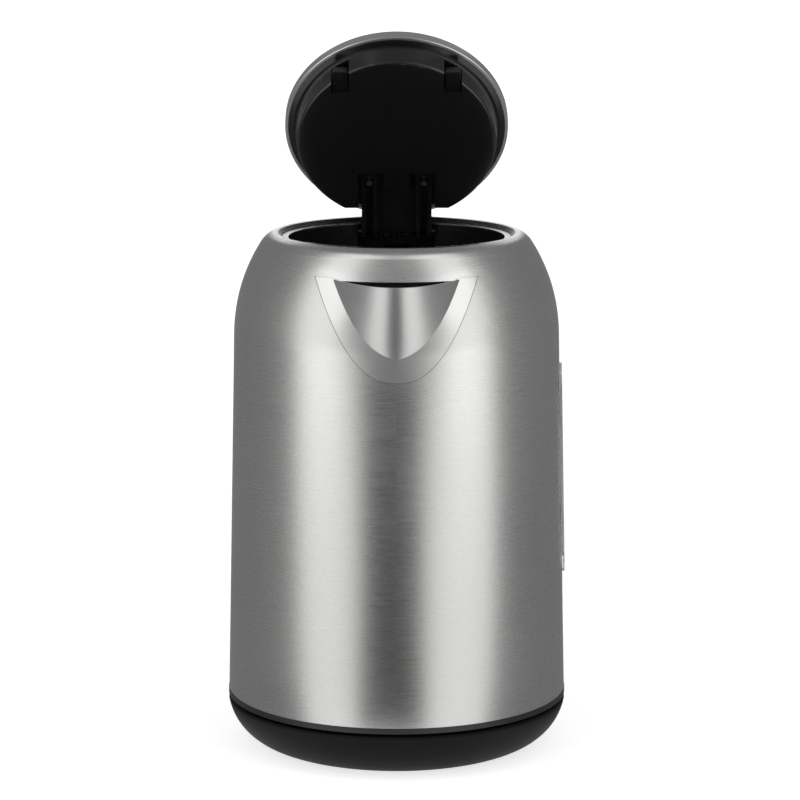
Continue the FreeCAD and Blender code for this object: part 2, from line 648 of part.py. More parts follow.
earth_pin = rod("earth_pin", "pin_radius", "contact_top - contact_foot", ("0", "0", "contact_foot"))
contact_set = group("contact_set", [
    earth_pin,
    contact_ring("contact_inner", "ring_inner"),
    contact_ring("contact_outer", "ring_outer"),
])
connector_cup = turned("connector_cup", [
    ("hub_radius + plug_clearance", "kettle_floor + slip_gap"),
    ("connector_radius", "kettle_floor + slip_gap"),
    ("connector_radius", "connector_top"),
    ("0", "connector_top"),
    ("0", "connector_top - plug_wall"),
    ("hub_radius + plug_clearance", "connector_top - plug_wall"),
])
node("kettle_connector", cut("kettle_connector", connector_cup, contact_set))
node("connector_contacts", contact_set)


# Steel body

def steel_line(inset):
    """Outer line of the steel, moved inwards by an inset, from foot to rim."""
    return [
        (f"body_foot_radius - ({inset})", "body_foot"),
        (f"dome_r + (dome_arc - ({inset})) * cos(cone_angle)",
         f"dome_z + (dome_arc - ({inset})) * sin(cone_angle)"),
        (f"dome_r + (dome_arc - ({inset})) * cos(break_angle)",
         f"dome_z + (dome_arc - ({inset})) * sin(break_angle)", f"dome_arc - ({inset})"),
        (f"crown_r + (crown_arc - ({inset})) * cos(rim_angle)",
         f"crown_z + (crown_arc - ({inset})) * sin(rim_angle)", f"crown_arc - ({inset})"),
    ]


def backwards(outline):
    """The same corners in the other order, with each arc kept on its own stretch."""
    arcs = [f"-({corner[2]})" if len(corner) == 3 else None for corner in outline]
    turned_round = [outline[-1][:2]]
    for index in range(len(outline) - 2, -1, -1):
        corner = outline[index][:2]
        turned_round.append(corner if arcs[index + 1] is None else (*corner, arcs[index + 1]))
    return turned_round


def steel_solid(name, inset):
    """Everything within the steel line, as one solid."""
    line = steel_line(inset)
    return turned(name, line + [("0", line[-1][1]), ("0", "body_foot")])


def steel_layer(name, outer, inner):
    """A layer that follows the steel wall between two insets."""
    return turned(name, steel_line(outer) + backwards(steel_line(inner)))


steel_blank = turned("steel_blank", steel_line("0") + [
    ("rim_radius - lip_width", "rim_z", "lip_arc"),
    ("ledge_radius", "ledge_z"),
    ("mouth_radius", "ledge_z"),
    ("mouth_radius", "ledge_z - body_wall"),
    ("ledge_radius + body_wall * 0.4", "ledge_z - body_wall"),
    ("rim_radius - lip_width + body_wall * 0.4", "rim_z - body_wall"),
] + backwards(steel_line("body_wall")))

# Spout: a beak lofted from level slices, welded on by a flange that follows the steel

SLICES = 7
SPOUT_POINTS = 7
LOWEST_SLICE = 0.03
SLICE_CROWDING = 1.4


def steel_radius(height):
    """Outside radius of the steel at a height."""
    if height <= num("shoulder"):
        slope = math.tan(math.radians(num("cone_angle")))
        return num("body_foot_radius") - (height - num("body_foot")) * slope
    if height <= num("dome_z + dome_arc * sin(break_angle)"):
        return num("dome_r") + math.sqrt(num("dome_arc") ** 2 - (height - num("dome_z")) ** 2)
    return num("crown_r") + math.sqrt(num("crown_arc") ** 2 - (height - num("crown_z")) ** 2)


def beak_slice(share, wall, extra):
    """Level slice of the beak at a share of its height: a parabola in front of a straight back."""
    height = num("beak_foot") + share * num("spout_height") + extra
    half = num("spout_half_width") * share ** num("spout_power") - wall
    root = math.sqrt(max(steel_radius(height) ** 2 - half ** 2, 1)) - num("root_sink")
    foot_radius = steel_radius(num("beak_foot"))
    tip = foot_radius + (num("spout_reach") - foot_radius) * share - wall
    nose = []
    for step in range(-SPOUT_POINTS, SPOUT_POINTS + 1):
        across = step / SPOUT_POINTS
        out = root + (tip - root) * (1 - across ** 2)
        nose.append(V(half * across, -out, height))
    curve = Part.BSplineCurve()
    curve.interpolate(nose)
    back = -num("rim_radius - hinge_room_front")
    left = V(-half, back, height)
    right = V(half, back, height)
    edges = [curve.toShape(), Part.LineSegment(nose[-1], right).toShape(),
             Part.LineSegment(right, left).toShape(), Part.LineSegment(left, nose[0]).toShape()]
    return Part.Wire(edges)


def beak(name, wall, extra):
    steps = [(index / (SLICES - 1)) ** SLICE_CROWDING for index in range(SLICES)]
    shares = [LOWEST_SLICE + (1 - LOWEST_SLICE) * step for step in steps]
    thing = doc.addObject("Part::Feature", name)
    wires = [beak_slice(share, wall, extra if share == shares[-1] else 0) for share in shares]
    thing.Shape = Part.makeLoft(wires, True, False)
    return thing


def shield(name, half_width, foot, top, front, back):
    """Prism through the front wall with the outline of the spout seen from the front."""
    rise = top - foot
    spots = []
    for step in range(-SPOUT_POINTS, SPOUT_POINTS + 1):
        share = abs(step / SPOUT_POINTS) ** 2
        across = math.copysign(half_width * share ** num("spout_power"), step)
        spots.append(V(across, -back, foot + rise * share))
    curve = Part.BSplineCurve()
    curve.interpolate(spots)
    wire = Part.Wire([curve.toShape(), Part.LineSegment(spots[-1], spots[0]).toShape()])
    thing = doc.addObject("Part::Feature", name)
    thing.Shape = Part.Face(wire).extrude(V(0, back - front, 0))
    return thing


front_face = num("spout_reach + overcut")
front_back = num("mouth_radius")
beak_outside = beak("beak_outside", 0, 0)
beak_inside = beak("beak_inside", num("spout_wall"), num("overcut"))
steel_outside = steel_solid("steel_outside", "0")
flange_prism = shield("flange_prism", num("spout_half_width + flange_width"), num("beak_foot - flange_foot"),
                      num("spout_z + flange_rise"), front_face, front_back)
flange_layer = steel_layer("flange_layer", "-flange_wall", "0")
flange = common("flange", flange_layer, flange_prism)
node("spout", cut("spout", fuse("spout_blank", beak_outside, flange), beak_inside, steel_outside))
spout_hole = shield("spout_hole", num("spout_half_width - spout_hole_margin"),
                    num("beak_foot + spout_hole_margin"), num("spout_z - spout_hole_drop"),
                    front_face, front_back)


# Water gauge on the right side

def stadium(name, margin, near, far):
    """Upright rounded slot shape running out along +X."""
    half = f"(gauge_width / 2 - ({margin}))"
    low = "gauge_foot + gauge_width / 2"
    high = "gauge_foot + gauge_height - gauge_width / 2"
    return padded(name, "YZ_Plane", [
        (f"-{half}", high, half),
        (f"-{half}", low),
        ("0", f"{low} - {half}", half),
        (half, low, half),
        (half, high),
        ("0", f"{high} + {half}", half),
    ], f"({far}) - ({near})", near)


GAUGE_FAR = "body_foot_radius + 2 * gauge_depth"
GAUGE_NEAR = "shoulder_radius - gauge_width"
gauge_hole = stadium("gauge_hole", "gauge_margin - snug_gap", GAUGE_NEAR, GAUGE_FAR)
gauge_flange = common("gauge_flange", stadium("gauge_flange_prism", "0", GAUGE_NEAR, GAUGE_FAR),
                      steel_layer("gauge_flange_layer", "-gauge_proud", "-gauge_lift"))
gauge_core = common("gauge_core", stadium("gauge_core_prism", "gauge_margin", GAUGE_NEAR, GAUGE_FAR),
                    steel_layer("gauge_core_layer", "-gauge_proud / 2", "gauge_depth"))
node("gauge_window", fuse("gauge_window", gauge_flange, gauge_core))


def gauge_ring(name, outer, inner):
    layer = steel_layer(name + "_layer", outer, inner)
    prism = stadium(name + "_prism", "-gauge_frame_margin", GAUGE_NEAR, GAUGE_FAR)
    bore = stadium(name + "_bore", "gauge_margin", GAUGE_NEAR, GAUGE_FAR)
    return cut(name, common(name + "_blank", layer, prism), bore)


node("gauge_seal", gauge_ring("gauge_seal", "body_wall", "body_wall + gauge_seal_wall"))
node("gauge_retainer", gauge_ring("gauge_retainer", "body_wall + gauge_seal_wall",
                                  "body_wall + gauge_seal_wall + gauge_frame_wall"))

# Openings at the back of the steel

WINDOW_SPAN = ("handle_top - window_half_height", "handle_top + window_half_height")
BEHIND_STEEL = "body_foot_radius + overcut"
steam_window = block("steam_window", both("window_half_width"), ("rim_radius - overcut", BEHIND_STEEL),
                     WINDOW_SPAN)
switch_slot = block("switch_slot", both("switch_arm_width / 2 + switch_air"),
                    ("body_foot_radius - slot_depth", BEHIND_STEEL),
                    ("switch_z - slot_half_height", "switch_z + slot_half_height"))
hinge_notch = block("hinge_notch", both("leg_outer + notch_side"),
                    ("mouth_radius - hinge_room_front", "mouth_radius - notch_stop"),
                    ("ledge_z - body_wall - overcut", "ledge_z + overcut"))
node("body_shell", cut("body_shell", steel_blank, spout_hole, gauge_hole, steam_window, switch_slot,
                       hinge_notch))

# Bottom of the kettle

cover_blank = turned("cover_blank", [
    ("control_radius + slip_gap", "kettle_floor"),
    ("cover_side - cover_chamfer", "kettle_floor"),
    ("cover_side", "kettle_floor + cover_chamfer"),
    ("cover_side", "skirt_bottom"),
    ("body_foot_radius + skirt_proud", "skirt_bottom"),
    ("body_foot_radius + skirt_proud", "body_foot"),
    ("cover_rim", "body_foot"),
    ("cover_rim", "body_foot + cover_upstand"),
    ("cover_rim - cover_wall", "body_foot + cover_upstand"),
    ("cover_rim - cover_wall", "skirt_bottom + cover_wall"),
    ("cover_side - cover_wall", "skirt_bottom + cover_wall"),
    ("cover_side - cover_wall", "kettle_floor + cover_wall"),
    ("control_radius + slip_gap", "kettle_floor + cover_wall"),
])
cover_screw_set = screws("cover_screw_set", "cover_screw_circle", THIRDS,
                         "kettle_floor + cover_wall * 0.9", "cover_screw_length")
node("bottom_cover", cut("bottom_cover", cover_blank, cover_screw_set, switch_slot))
node("bottom_screws", cover_screw_set)

plate_pan = turned("plate_pan", [
    ("0", "plate_under"),
    ("plate_radius - plate_wall", "plate_under"),
    ("plate_radius - plate_wall", "plate_z - plate_flange"),
    ("plate_radius", "plate_z - plate_flange"),
    ("plate_radius", "plate_z"),
    ("0", "plate_z"),
])
pillars = rods_on_circle("pillars", "boss_radius", "cover_screw_circle", THIRDS,
                         "kettle_floor + cover_wall",
                         "plate_under + plate_wall / 2 - kettle_floor - cover_wall")
node("heating_plate", cut("heating_plate", fuse("plate_blank", plate_pan, pillars), cover_screw_set))

control_screw_set = screws("control_screw_set", "control_screw_circle", THIRDS,
                           "spreader_under - control_ear", "control_ear + spreader_wall * 0.7")
spreader = turned("spreader", [
    ("0", "spreader_under"),
    ("spreader_radius", "spreader_under"),
    ("spreader_radius", "plate_under"),
    ("0", "plate_under"),
])
node("heat_spreader", cut("heat_spreader", spreader, control_screw_set))

element = doc.addObject("Part::Torus", "element")
bind(element, "Radius1", "element_circle")
bind(element, "Radius2", "element_radius")
bind(element, "Angle3", "element_sweep")
element.Placement = FreeCAD.Placement(V(), FreeCAD.Rotation(V(0, 0, 1), 1))
bind(element, "Placement.Rotation.Angle", "90 + (360 - element_sweep) / 2")
bind(element, "Placement.Base.z", "spreader_under - element_radius")
tails = rods_on_circle("tails", "tail_radius", "element_circle",
                       ("(360 - element_sweep) / 2 - tail_angle", "tail_angle - (360 - element_sweep) / 2"),
                       "spreader_under - tail_length", "tail_length - element_radius")
node("heating_element", cut("heating_element", element, tails))
node("element_tails", tails)

control_blank = turned("control_blank", [
    ("control_cavity", "kettle_floor"),
    ("control_radius", "kettle_floor"),
    ("control_radius", "control_top"),
    ("0", "control_top"),
    ("0", "connector_top + turn_gap"),
    ("control_cavity", "connector_top + turn_gap"),
])
control_ears = rods_on_circle("control_ears", "control_ear_radius", "control_screw_circle", THIRDS,
                              "spreader_under - control_ear", "control_ear")
control_eared = fuse("control_eared", control_blank, control_ears)
node("control_unit", cut("control_unit", control_eared, control_screw_set))
node("control_screws", control_screw_set)
discs = [rod(f"disc{index}", "disc_radius", "disc_wall", (f"{side} * disc_offset", "0", "control_top"))
         for index, side in enumerate((-1, 1))]
node("bimetal_discs", group("bimetal_discs", discs))

# Collar in the mouth with the hinge box and the filter rails

collar_ring = turned("collar_ring", [
    ("mouth_radius", "collar_foot"),
    ("collar_radius", "collar_foot"),
    ("collar_radius", "collar_top"),
    ("mouth_radius", "collar_top"),
])
ROOM_BACK = "hinge_y + knuckle_radius + hinge_room_back"
hinge_box = block("hinge_box", both("hinge_box_inside + hinge_box_wall"),
                  ("mouth_radius - hinge_box_front", f"{ROOM_BACK} + box_back_wall"),
                  ("rim_z - hinge_box_drop", "rim_z"))
hinge_room = block("hinge_room", both("hinge_box_inside"), ("mouth_radius - hinge_room_front", ROOM_BACK),
                   ("rim_z - hinge_box_drop + hinge_box_wall", "rim_z + overcut"))
box_window = block("box_window", both("window_half_width"), ("hinge_y", "body_foot_radius"), WINDOW_SPAN)
under_dome = steel_solid("under_dome", "body_wall + slip_gap")
ledge_room = turned("ledge_room", [
    ("0", "collar_top"),
    ("rim_radius - lip_width + overcut", "collar_top"),
    ("rim_radius + overcut", "rim_z + overcut"),
    ("0", "rim_z + overcut"),
])
rails = []
for side in (-1, 1):
    near, far = sorted((f"{side} * (filter_half_width - rail_lap)", f"{side} * rail_outer"), key=num)
    rail = block(f"rail{side + 1}", (near, far), ("rail_front", "-filter_y"),
                 ("filter_top - filter_height * rail_share", "collar_foot + bridge_wall"))
    rails.append(rail)
rail_bridge = block("rail_bridge", both("rail_outer"), ("rail_front", "bridge_reach - mouth_radius"),
                    ("collar_foot", "collar_foot + bridge_wall"))
mouth_clear = rod("mouth_clear", "mouth_radius", "rim_z - collar_foot + overcut",
                  ("0", "0", "collar_foot - overcut"))
front_half = block("front_half", both("mouth_radius"), ("-mouth_radius", "0"),
                   ("collar_foot - overcut", "rim_z"))
mouth_front = common("mouth_front", mouth_clear, front_half)
filter_room = block("filter_room", both("filter_half_width + filter_gap"),
                    ("filter_front - filter_gap", "0"),
                    ("filter_top - filter_height", "filter_top + filter_gap"))
hinge_pin = rod("hinge_pin_rod", "hinge_pin_radius", "2 * (hinge_box_inside + hinge_box_wall)",
                ("-hinge_box_inside - hinge_box_wall", "hinge_y", "hinge_z"), "X")
collar_blank = fuse("collar_blank", collar_ring, hinge_box, rail_bridge, *rails)
collar_trimmed = common("collar_trimmed", collar_blank, under_dome)
node("neck_collar", cut("neck_collar", collar_trimmed, hinge_room, box_window, ledge_room, mouth_front,
                        filter_room, hinge_pin))
node("hinge_pin", hinge_pin)
spring_outside = rod("spring_outside", "hinge_pin_radius + spring_gap + spring_wire",
                     "2 * (leg_inner - spring_side)", ("spring_side - leg_inner", "hinge_y", "hinge_z"), "X")
spring_bore = rod("spring_bore", "hinge_pin_radius + spring_gap", "2 * leg_inner",
                  ("-leg_inner", "hinge_y", "hinge_z"), "X")
node("hinge_spring", cut("hinge_spring", spring_outside, spring_bore))

# Handle: an outer channel closed by a grip strip, both swept along one path


def handle_path(inset):
    """Middle line of the handle, moved towards the fingers by an inset."""
    bend = f"-(handle_corner - ({inset}))"
    return [
        ("rim_radius", f"handle_top - ({inset})"),
        ("grip_y - handle_corner", f"handle_top - ({inset})"),
        (f"grip_y - ({inset})", "handle_top - handle_corner", bend),
        (f"grip_y - ({inset})", "handle_bottom + handle_corner"),
        ("grip_y - handle_corner", f"handle_bottom + ({inset})", bend),
        ("rim_radius", f"handle_bottom + ({inset})"),
    ]


SIDE = "handle_width / 2"
INSIDE = "(handle_width / 2 - handle_wall)"
SPLIT = "handle_top - handle_depth / 2 + grip_wall"
channel = swept("channel", [
    (SIDE, SPLIT),
    (SIDE, "handle_back - handle_round"),
    (f"{SIDE} - handle_round", "handle_back", "handle_round"),
    (f"handle_round - {SIDE}", "handle_back"),
    (f"-{SIDE}", "handle_back - handle_round", "handle_round"),
    (f"-{SIDE}", SPLIT),
    (f"-{INSIDE}", SPLIT),
    (f"-{INSIDE}", "handle_back - handle_round"),
    (f"handle_round - {SIDE}", "handle_back - handle_wall", "handle_wall - handle_round"),
    (f"{SIDE} - handle_round", "handle_back - handle_wall"),
    (INSIDE, "handle_back - handle_round", "handle_wall - handle_round"),
    (INSIDE, SPLIT),
], "-rim_radius", handle_path("0"))
strip = swept("strip", [
    (SIDE, f"{SPLIT} - snug_gap"),
    (f"-{SIDE}", f"{SPLIT} - snug_gap"),
    (f"-{SIDE}", f"{SPLIT} - grip_wall + grip_round"),
    (f"grip_round - {SIDE}", f"{SPLIT} - grip_wall", "grip_round"),
    (f"{SIDE} - grip_round", f"{SPLIT} - grip_wall"),
    (SIDE, f"{SPLIT} - grip_wall + grip_round", "grip_round"),
], "-rim_radius", handle_path("0"))
EAR_OUT = "switch_width / 2 + turn_gap + ear_wall"
ear_block = block("ear_block", both(EAR_OUT), ("shoulder_radius", "switch_y + ear_reach"),
                  ("switch_z - slot_half_height", "handle_bottom - handle_depth / 2 + ear_lap"))
ear_room = block("ear_room", both("switch_width / 2 + turn_gap"),
                 ("shoulder_radius - overcut", "switch_y + ear_reach + overcut"),
                 ("switch_z - slot_half_height - overcut", "handle_bottom"))
switch_axle = rod("switch_axle_rod", "hinge_pin_radius", f"2 * ({EAR_OUT})",
                  (f"-({EAR_OUT})", "switch_y", "switch_z"), "X")
ears = cut("ears", ear_block, ear_room)
around_steel = steel_solid("around_steel", "-skin_gap")
BUTTON_SPAN = ("button_y - button_length / 2", "button_y + button_length / 2")
button_hole = block("button_hole", both("button_width / 2"), BUTTON_SPAN,
                    ("handle_top", "handle_back + overcut"))
lever_pin = rod("lever_pin_rod", "lever_pin_radius", "handle_width - 2 * lever_pin_stop",
                ("lever_pin_stop - handle_width / 2", "lever_pivot_y", "lever_z"), "X")
channel_eared = fuse("channel_eared", channel, ears)
node("handle_shell", cut("handle_shell", channel_eared, around_steel, button_hole, lever_pin, switch_axle))
node("handle_grip", cut("handle_grip", strip, around_steel))
node("switch_axle", switch_axle)
node("lever_pin", lever_pin)


def steam_section(radius):
    """Round section of the steam tube in four arcs."""
    middle = "handle_top - steam_offset"
    return [
        (f"-({radius})", middle, radius),
        ("0", f"{middle} - ({radius})", radius),
        (radius, middle, radius),
        ("0", f"{middle} + ({radius})", radius),
    ]


steam_ring = swept("steam_ring", steam_section("steam_radius"), "-rim_radius", handle_path("steam_offset"))
steam_core = swept("steam_core", steam_section("steam_radius - steam_wall"), "-rim_radius",
                   handle_path("steam_offset"))
node("steam_tube", cut("steam_tube", steam_ring, steam_core, around_steel))

# Lid button and the release lever under it

button_top = padded("button_top", "XY_Plane", [
    ("button_width / 2 - button_gap", "button_y - button_length / 2 + button_gap"),
    ("button_width / 2 - button_gap", "button_y + button_length / 2 - button_gap"),
    ("button_gap - button_width / 2", "button_y + button_length / 2 - button_gap"),
    ("button_gap - button_width / 2", "button_y - button_length / 2 + button_gap"),
], "handle_wall + button_proud + button_gap", "button_under")
button_flange = block("button_flange", both("button_width / 2 + button_skirt"),
                      (f"{BUTTON_SPAN[0]} - button_skirt", f"{BUTTON_SPAN[1]} + button_skirt"),
                      ("button_under - button_flange_wall", "button_under"))
node("release_button", fuse("release_button", button_top, button_flange))
THUMB_TOP = "button_under - button_flange_wall - slip_gap"
lever_plate = padded("lever_plate", "YZ_Plane", [
    ("shoulder_radius - lever_reach", "lever_z - lever_wall / 2"),
    ("button_y + thumb_behind", "lever_z - lever_wall / 2"),
    ("button_y + thumb_behind", THUMB_TOP),
    ("button_y + thumb_front", THUMB_TOP),
    ("button_y + thumb_front", "lever_z + lever_wall / 2"),
    ("shoulder_radius - lever_reach", "lever_z + lever_wall / 2"),
], "2 * lever_half_width", symmetric=True)
LEVER_MIDDLE = ("-lever_half_width", "lever_pivot_y", "lever_z")
lever_hole = rod("lever_hole", "lever_pin_radius + pin_fit", "2 * lever_half_width", LEVER_MIDDLE, "X")
lever_boss = rod("lever_boss_rod", "lever_boss", "2 * lever_half_width", LEVER_MIDDLE, "X")
node("release_lever", cut("release_lever", fuse("lever_blank", lever_plate, lever_boss), lever_hole))

# On/off switch below the handle

switch_paddle = padded("switch_paddle", "YZ_Plane", [
    ("switch_y - switch_hub_reach", "switch_z - switch_wall / 2"),
    ("switch_y + switch_reach", "switch_z - switch_wall / 2 - switch_drop"),
    ("switch_y + switch_reach + switch_drop", "switch_z - switch_wall / 2"),
    ("switch_y + switch_reach", "switch_z + switch_wall / 2 - switch_drop"),
    ("switch_y - switch_hub_reach", "switch_z + switch_wall / 2"),
], "switch_width", symmetric=True)
SWITCH_END = ("-switch_width / 2", "switch_y", "switch_z")
switch_hub = rod("switch_hub", "switch_hub_radius", "switch_width", SWITCH_END, "X")
switch_inner = block("switch_inner", both("switch_arm_width / 2"), ("switch_y - switch_arm", "switch_y"),
                     ("switch_z - switch_arm_wall / 2", "switch_z + switch_arm_wall / 2"))
switch_bore = rod("switch_bore", "hinge_pin_radius + pin_fit", "switch_width", SWITCH_END, "X")
switch_blank = fuse("switch_blank", switch_paddle, switch_hub, switch_inner)
node("switch_lever", cut("switch_lever", switch_blank, switch_bore))

# Lid, drawn closed and then swung open about the hinge


def hang(thing):
    """Swings a lid piece about the hinge to the open stop."""
    thing.Placement = FreeCAD.Placement(V(), FreeCAD.Rotation(V(-1, 0, 0), 1))
    bind(thing, "Placement.Rotation.Angle", "lid_open")
    bind(thing, "Placement.Base.y", "hinge_y - hinge_y * cos(lid_open) - hinge_z * sin(lid_open)")
    bind(thing, "Placement.Base.z", "hinge_z + hinge_y * sin(lid_open) - hinge_z * cos(lid_open)")
    return thing


CROWN_ARC = "((lid_radius - lid_round)^2 / (2 * lid_crown) + lid_crown / 2)"
lid_cover = turned("lid_cover_turned", [
    ("lid_radius - lid_hem", "lid_edge"),
    ("lid_radius - lid_chamfer", "lid_edge"),
    ("lid_radius", "lid_edge + lid_chamfer"),
    ("lid_radius", "lid_edge + lid_side"),
    ("lid_radius - lid_round", "lid_top", "lid_round"),
    ("0", "lid_top + lid_crown", CROWN_ARC),
    ("0", "lid_top + lid_crown - lid_wall"),
    ("lid_radius - lid_round", "lid_top - lid_wall", f"-{CROWN_ARC}"),
    ("lid_radius - lid_wall", "lid_edge + lid_side", "lid_wall - lid_round"),
    ("lid_radius - lid_wall", "lid_edge + lid_hem"),
    ("lid_radius - lid_hem", "lid_edge + lid_hem"),
])
node("lid_cover", hang(lid_cover))

plug_shell = turned("plug_shell", [
    ("0", "plug_face"),
    ("plug_face_radius - plug_round", "plug_face"),
    ("plug_face_radius", "plug_face + plug_round", "plug_round"),
    ("plug_top_radius", "lid_edge - plug_step"),
    ("lid_radius - lid_hem - snug_gap", "lid_edge - plug_lip"),
    ("lid_radius - lid_hem - snug_gap", "plug_flange_top"),
    ("plug_top_radius - plug_skin", "plug_flange_top"),
    ("plug_face_radius - plug_skin", "plug_face + plug_skin + plug_round"),
    ("plug_face_radius - plug_skin - plug_round", "plug_face + plug_skin", "-plug_round"),
    ("0", "plug_face + plug_skin"),
])
behind_flat = block("behind_flat", both("lid_radius"), ("plug_flat", "lid_radius"),
                    ("plug_face - overcut", "roof_under"))
within_plug = rod("within_plug", "plug_face_radius - plug_round / 2", "roof_under - plug_face",
                  ("0", "0", "plug_face"))
flat_block = block("flat_block", both("lid_radius"), ("plug_flat - plug_skin", "plug_flat"),
                   ("plug_face", "roof_under"))
flat_wall = common("flat_wall", within_plug, flat_block)
roof_disc = rod("roof_disc", "plug_top_radius - plug_round", "roof_wall", ("0", "0", "roof_under"))
roof_block = block("roof_block", both("lid_radius"), ("plug_flat - plug_skin", "lid_radius"),
                   ("plug_face", "lid_top"))
roof = common("roof", roof_disc, roof_block)
pocket_walls = block("pocket_walls", both("pocket_half_width + plug_skin"),
                     ("pocket_front - plug_skin", "plug_flat"), ("plug_face", "pocket_roof + plug_skin"))
pocket_room = block("pocket_room", both("pocket_half_width"), ("pocket_front", "plug_flat + overcut"),
                    ("plug_face - overcut", "pocket_roof"))


def hook_slots(name, clearance, inner, outer, foot, top):
    """Radial blocks through the front of the plug, one on each side."""
    made = []
    for side in (-1, 1):
        half = f"(hook_width / 2 + {clearance})"
        x_span = (f"{side} * hook_x - {half}", f"{side} * hook_x + {half}")
        y_span = (f"hook_y - ({outer})", f"hook_y + ({inner})")
        made.append(block(f"{name}{side + 1}", x_span, y_span, (foot, top)))
    return made


hook_rooms = hook_slots("hook_room", "hook_gap", "hook_root", "plug_skin + latch_travel",
                        "plug_face - overcut", "plug_face + plug_skin + hook_height + overcut")
plug_flat_cut = cut("plug_flat_cut", plug_shell, behind_flat)
plug_full = fuse("plug_full", plug_flat_cut, flat_wall, roof, pocket_walls)
tail_room = block("tail_room", both("latch_width / 2 + latch_gap"),
                  ("pocket_front - plug_skin - overcut", "pocket_front + overcut"),
                  ("latch_z - slip_gap", "latch_z + latch_wall + slip_gap"))


def lid_screws(name):
    """Screws that hold the hinge legs to the roof of the pocket."""
    return group(name, [
        rod(f"{name}{index}", "screw_radius", "lid_screw_length",
            (f"{side} * (leg_inner + leg_outer) / 2", "pocket_front + lid_screw_place",
             "pocket_roof - lid_screw_foot"))
        for index, side in enumerate((-1, 1))
    ])


lid_screw_holes = lid_screws("lid_screw_holes")
node("lid_plug", hang(cut("lid_plug", plug_full, pocket_room, tail_room, lid_screw_holes, *hook_rooms)))

# Hinge arm: two ribbed legs and a plate between them that bend down to the hinge pin

leg_line = [
    ("leg_start", "pocket_roof"),
    ("leg_start", "pocket_roof - leg_wall"),
    ("plug_flat - 2 * leg_web", "pocket_roof - leg_wall"),
    ("elbow_y - 2 * leg_web", "elbow_z - leg_web / 2"),
    ("elbow_y + 1.5 * leg_web", "elbow_z - leg_web / 2", "leg_bend"),
    ("hinge_y + knuckle_radius", "hinge_z"),
    ("hinge_y", "hinge_z + knuckle_radius", "knuckle_radius"),
    ("hinge_y - knuckle_radius", "hinge_z", "knuckle_radius"),
    ("elbow_y - leg_web / 4", "elbow_z + 2 * leg_web"),
    ("elbow_y - 2 * leg_web", "elbow_z + 2 * leg_web"),
    ("plug_flat - leg_web / 2", "pocket_roof"),
]


def leg_strip(end_corners):
    """Line of a thin strip inside the legs, ended near the hinge by the corners given."""
    return [
        ("leg_start", "pocket_roof"),
        ("leg_start", "pocket_roof - leg_web"),
        ("plug_flat - leg_web", "pocket_roof - leg_web"),
        ("elbow_y - 1.5 * leg_web", "elbow_z + leg_web"),
        ("elbow_y + leg_web / 2", "elbow_z + leg_web"),
        *end_corners,
        ("elbow_y - leg_web / 4", "elbow_z + 2 * leg_web"),
        ("elbow_y - 2 * leg_web", "elbow_z + 2 * leg_web"),
        ("plug_flat - leg_web / 2", "pocket_roof"),
    ]


web_line = leg_strip([
    ("hinge_y + hinge_pin_radius - leg_web / 4", "hinge_z - hinge_pin_radius - skin_gap"),
    ("hinge_y - knuckle_radius", "hinge_z"),
])
plate_line = leg_strip([
    ("hinge_y - plate_stop / 2", "hinge_z - plate_stop"),
    ("hinge_y - plate_stop", "hinge_z - plate_stop / 2"),
])
legs = [padded("arm_plate", "YZ_Plane", plate_line, "2 * leg_inner + leg_rib", symmetric=True)]
for side in (-1, 1):
    strips = (
        (leg_line, "leg_inner", "leg_inner + leg_rib"),
        (leg_line, "leg_outer - leg_rib", "leg_outer"),
        (web_line, "leg_inner + leg_rib / 2", "leg_outer - leg_rib / 2"),
    )
    for index, (line, low, high) in enumerate(strips):
        near, far = sorted((f"{side} * ({low})", f"{side} * ({high})"), key=num)
        legs.append(padded(f"leg{side + 1}{index}", "YZ_Plane", line, f"({far}) - ({near})", near))
leg_bore = rod("leg_bore", "hinge_pin_radius + pin_fit", "2 * (leg_outer + overcut)",
               ("-leg_outer - overcut", "hinge_y", "hinge_z"), "X")
node("lid_hinge_arm", hang(cut("lid_hinge_arm", fuse("arm_blank", *legs), leg_bore, lid_screw_holes)))
node("lid_screws", hang(lid_screws("lid_screw_set")))

# Latch slide inside the plug with two hooks in front and a tail in the hinge pocket

LATCH_SPAN = ("latch_z", "latch_z + latch_wall")
slide = block("slide", both("latch_width / 2"), ("hook_y + hook_root", "plug_flat - latch_back"), LATCH_SPAN)
slide_bar = block("slide_bar", both("hook_x + hook_width / 2"),
                  ("hook_y + hook_root - bar_lap", "hook_y + hook_root + latch_width"), LATCH_SPAN)
hooks = hook_slots("hook", "0", "hook_root", "hook_reach",
                   "latch_z", "latch_z + hook_height - plug_round")
node("lid_latch", hang(fuse("lid_latch", slide, slide_bar, *hooks)))

# Spout filter held in rails under the collar

MESH_WIDTH = both("filter_half_width - filter_border")
MESH_HEIGHT = ("filter_top - filter_height + filter_border", "filter_top - filter_border")
MESH_MIDDLE = "filter_front + filter_wall / 2"
filter_plate = block("filter_plate", both("filter_half_width"), ("filter_front", "-filter_y"),
                     ("filter_top - filter_height", "filter_top"))
filter_hole = block("filter_hole", MESH_WIDTH, ("filter_front - overcut", "overcut - filter_y"), MESH_HEIGHT)
node("filter_frame", cut("filter_frame", filter_plate, filter_hole))
node("filter_mesh", block("filter_mesh", MESH_WIDTH,
                          (f"{MESH_MIDDLE} - mesh_wall / 2", f"{MESH_MIDDLE} + mesh_wall / 2"), MESH_HEIGHT))

# Recompute, test and write every sub-part

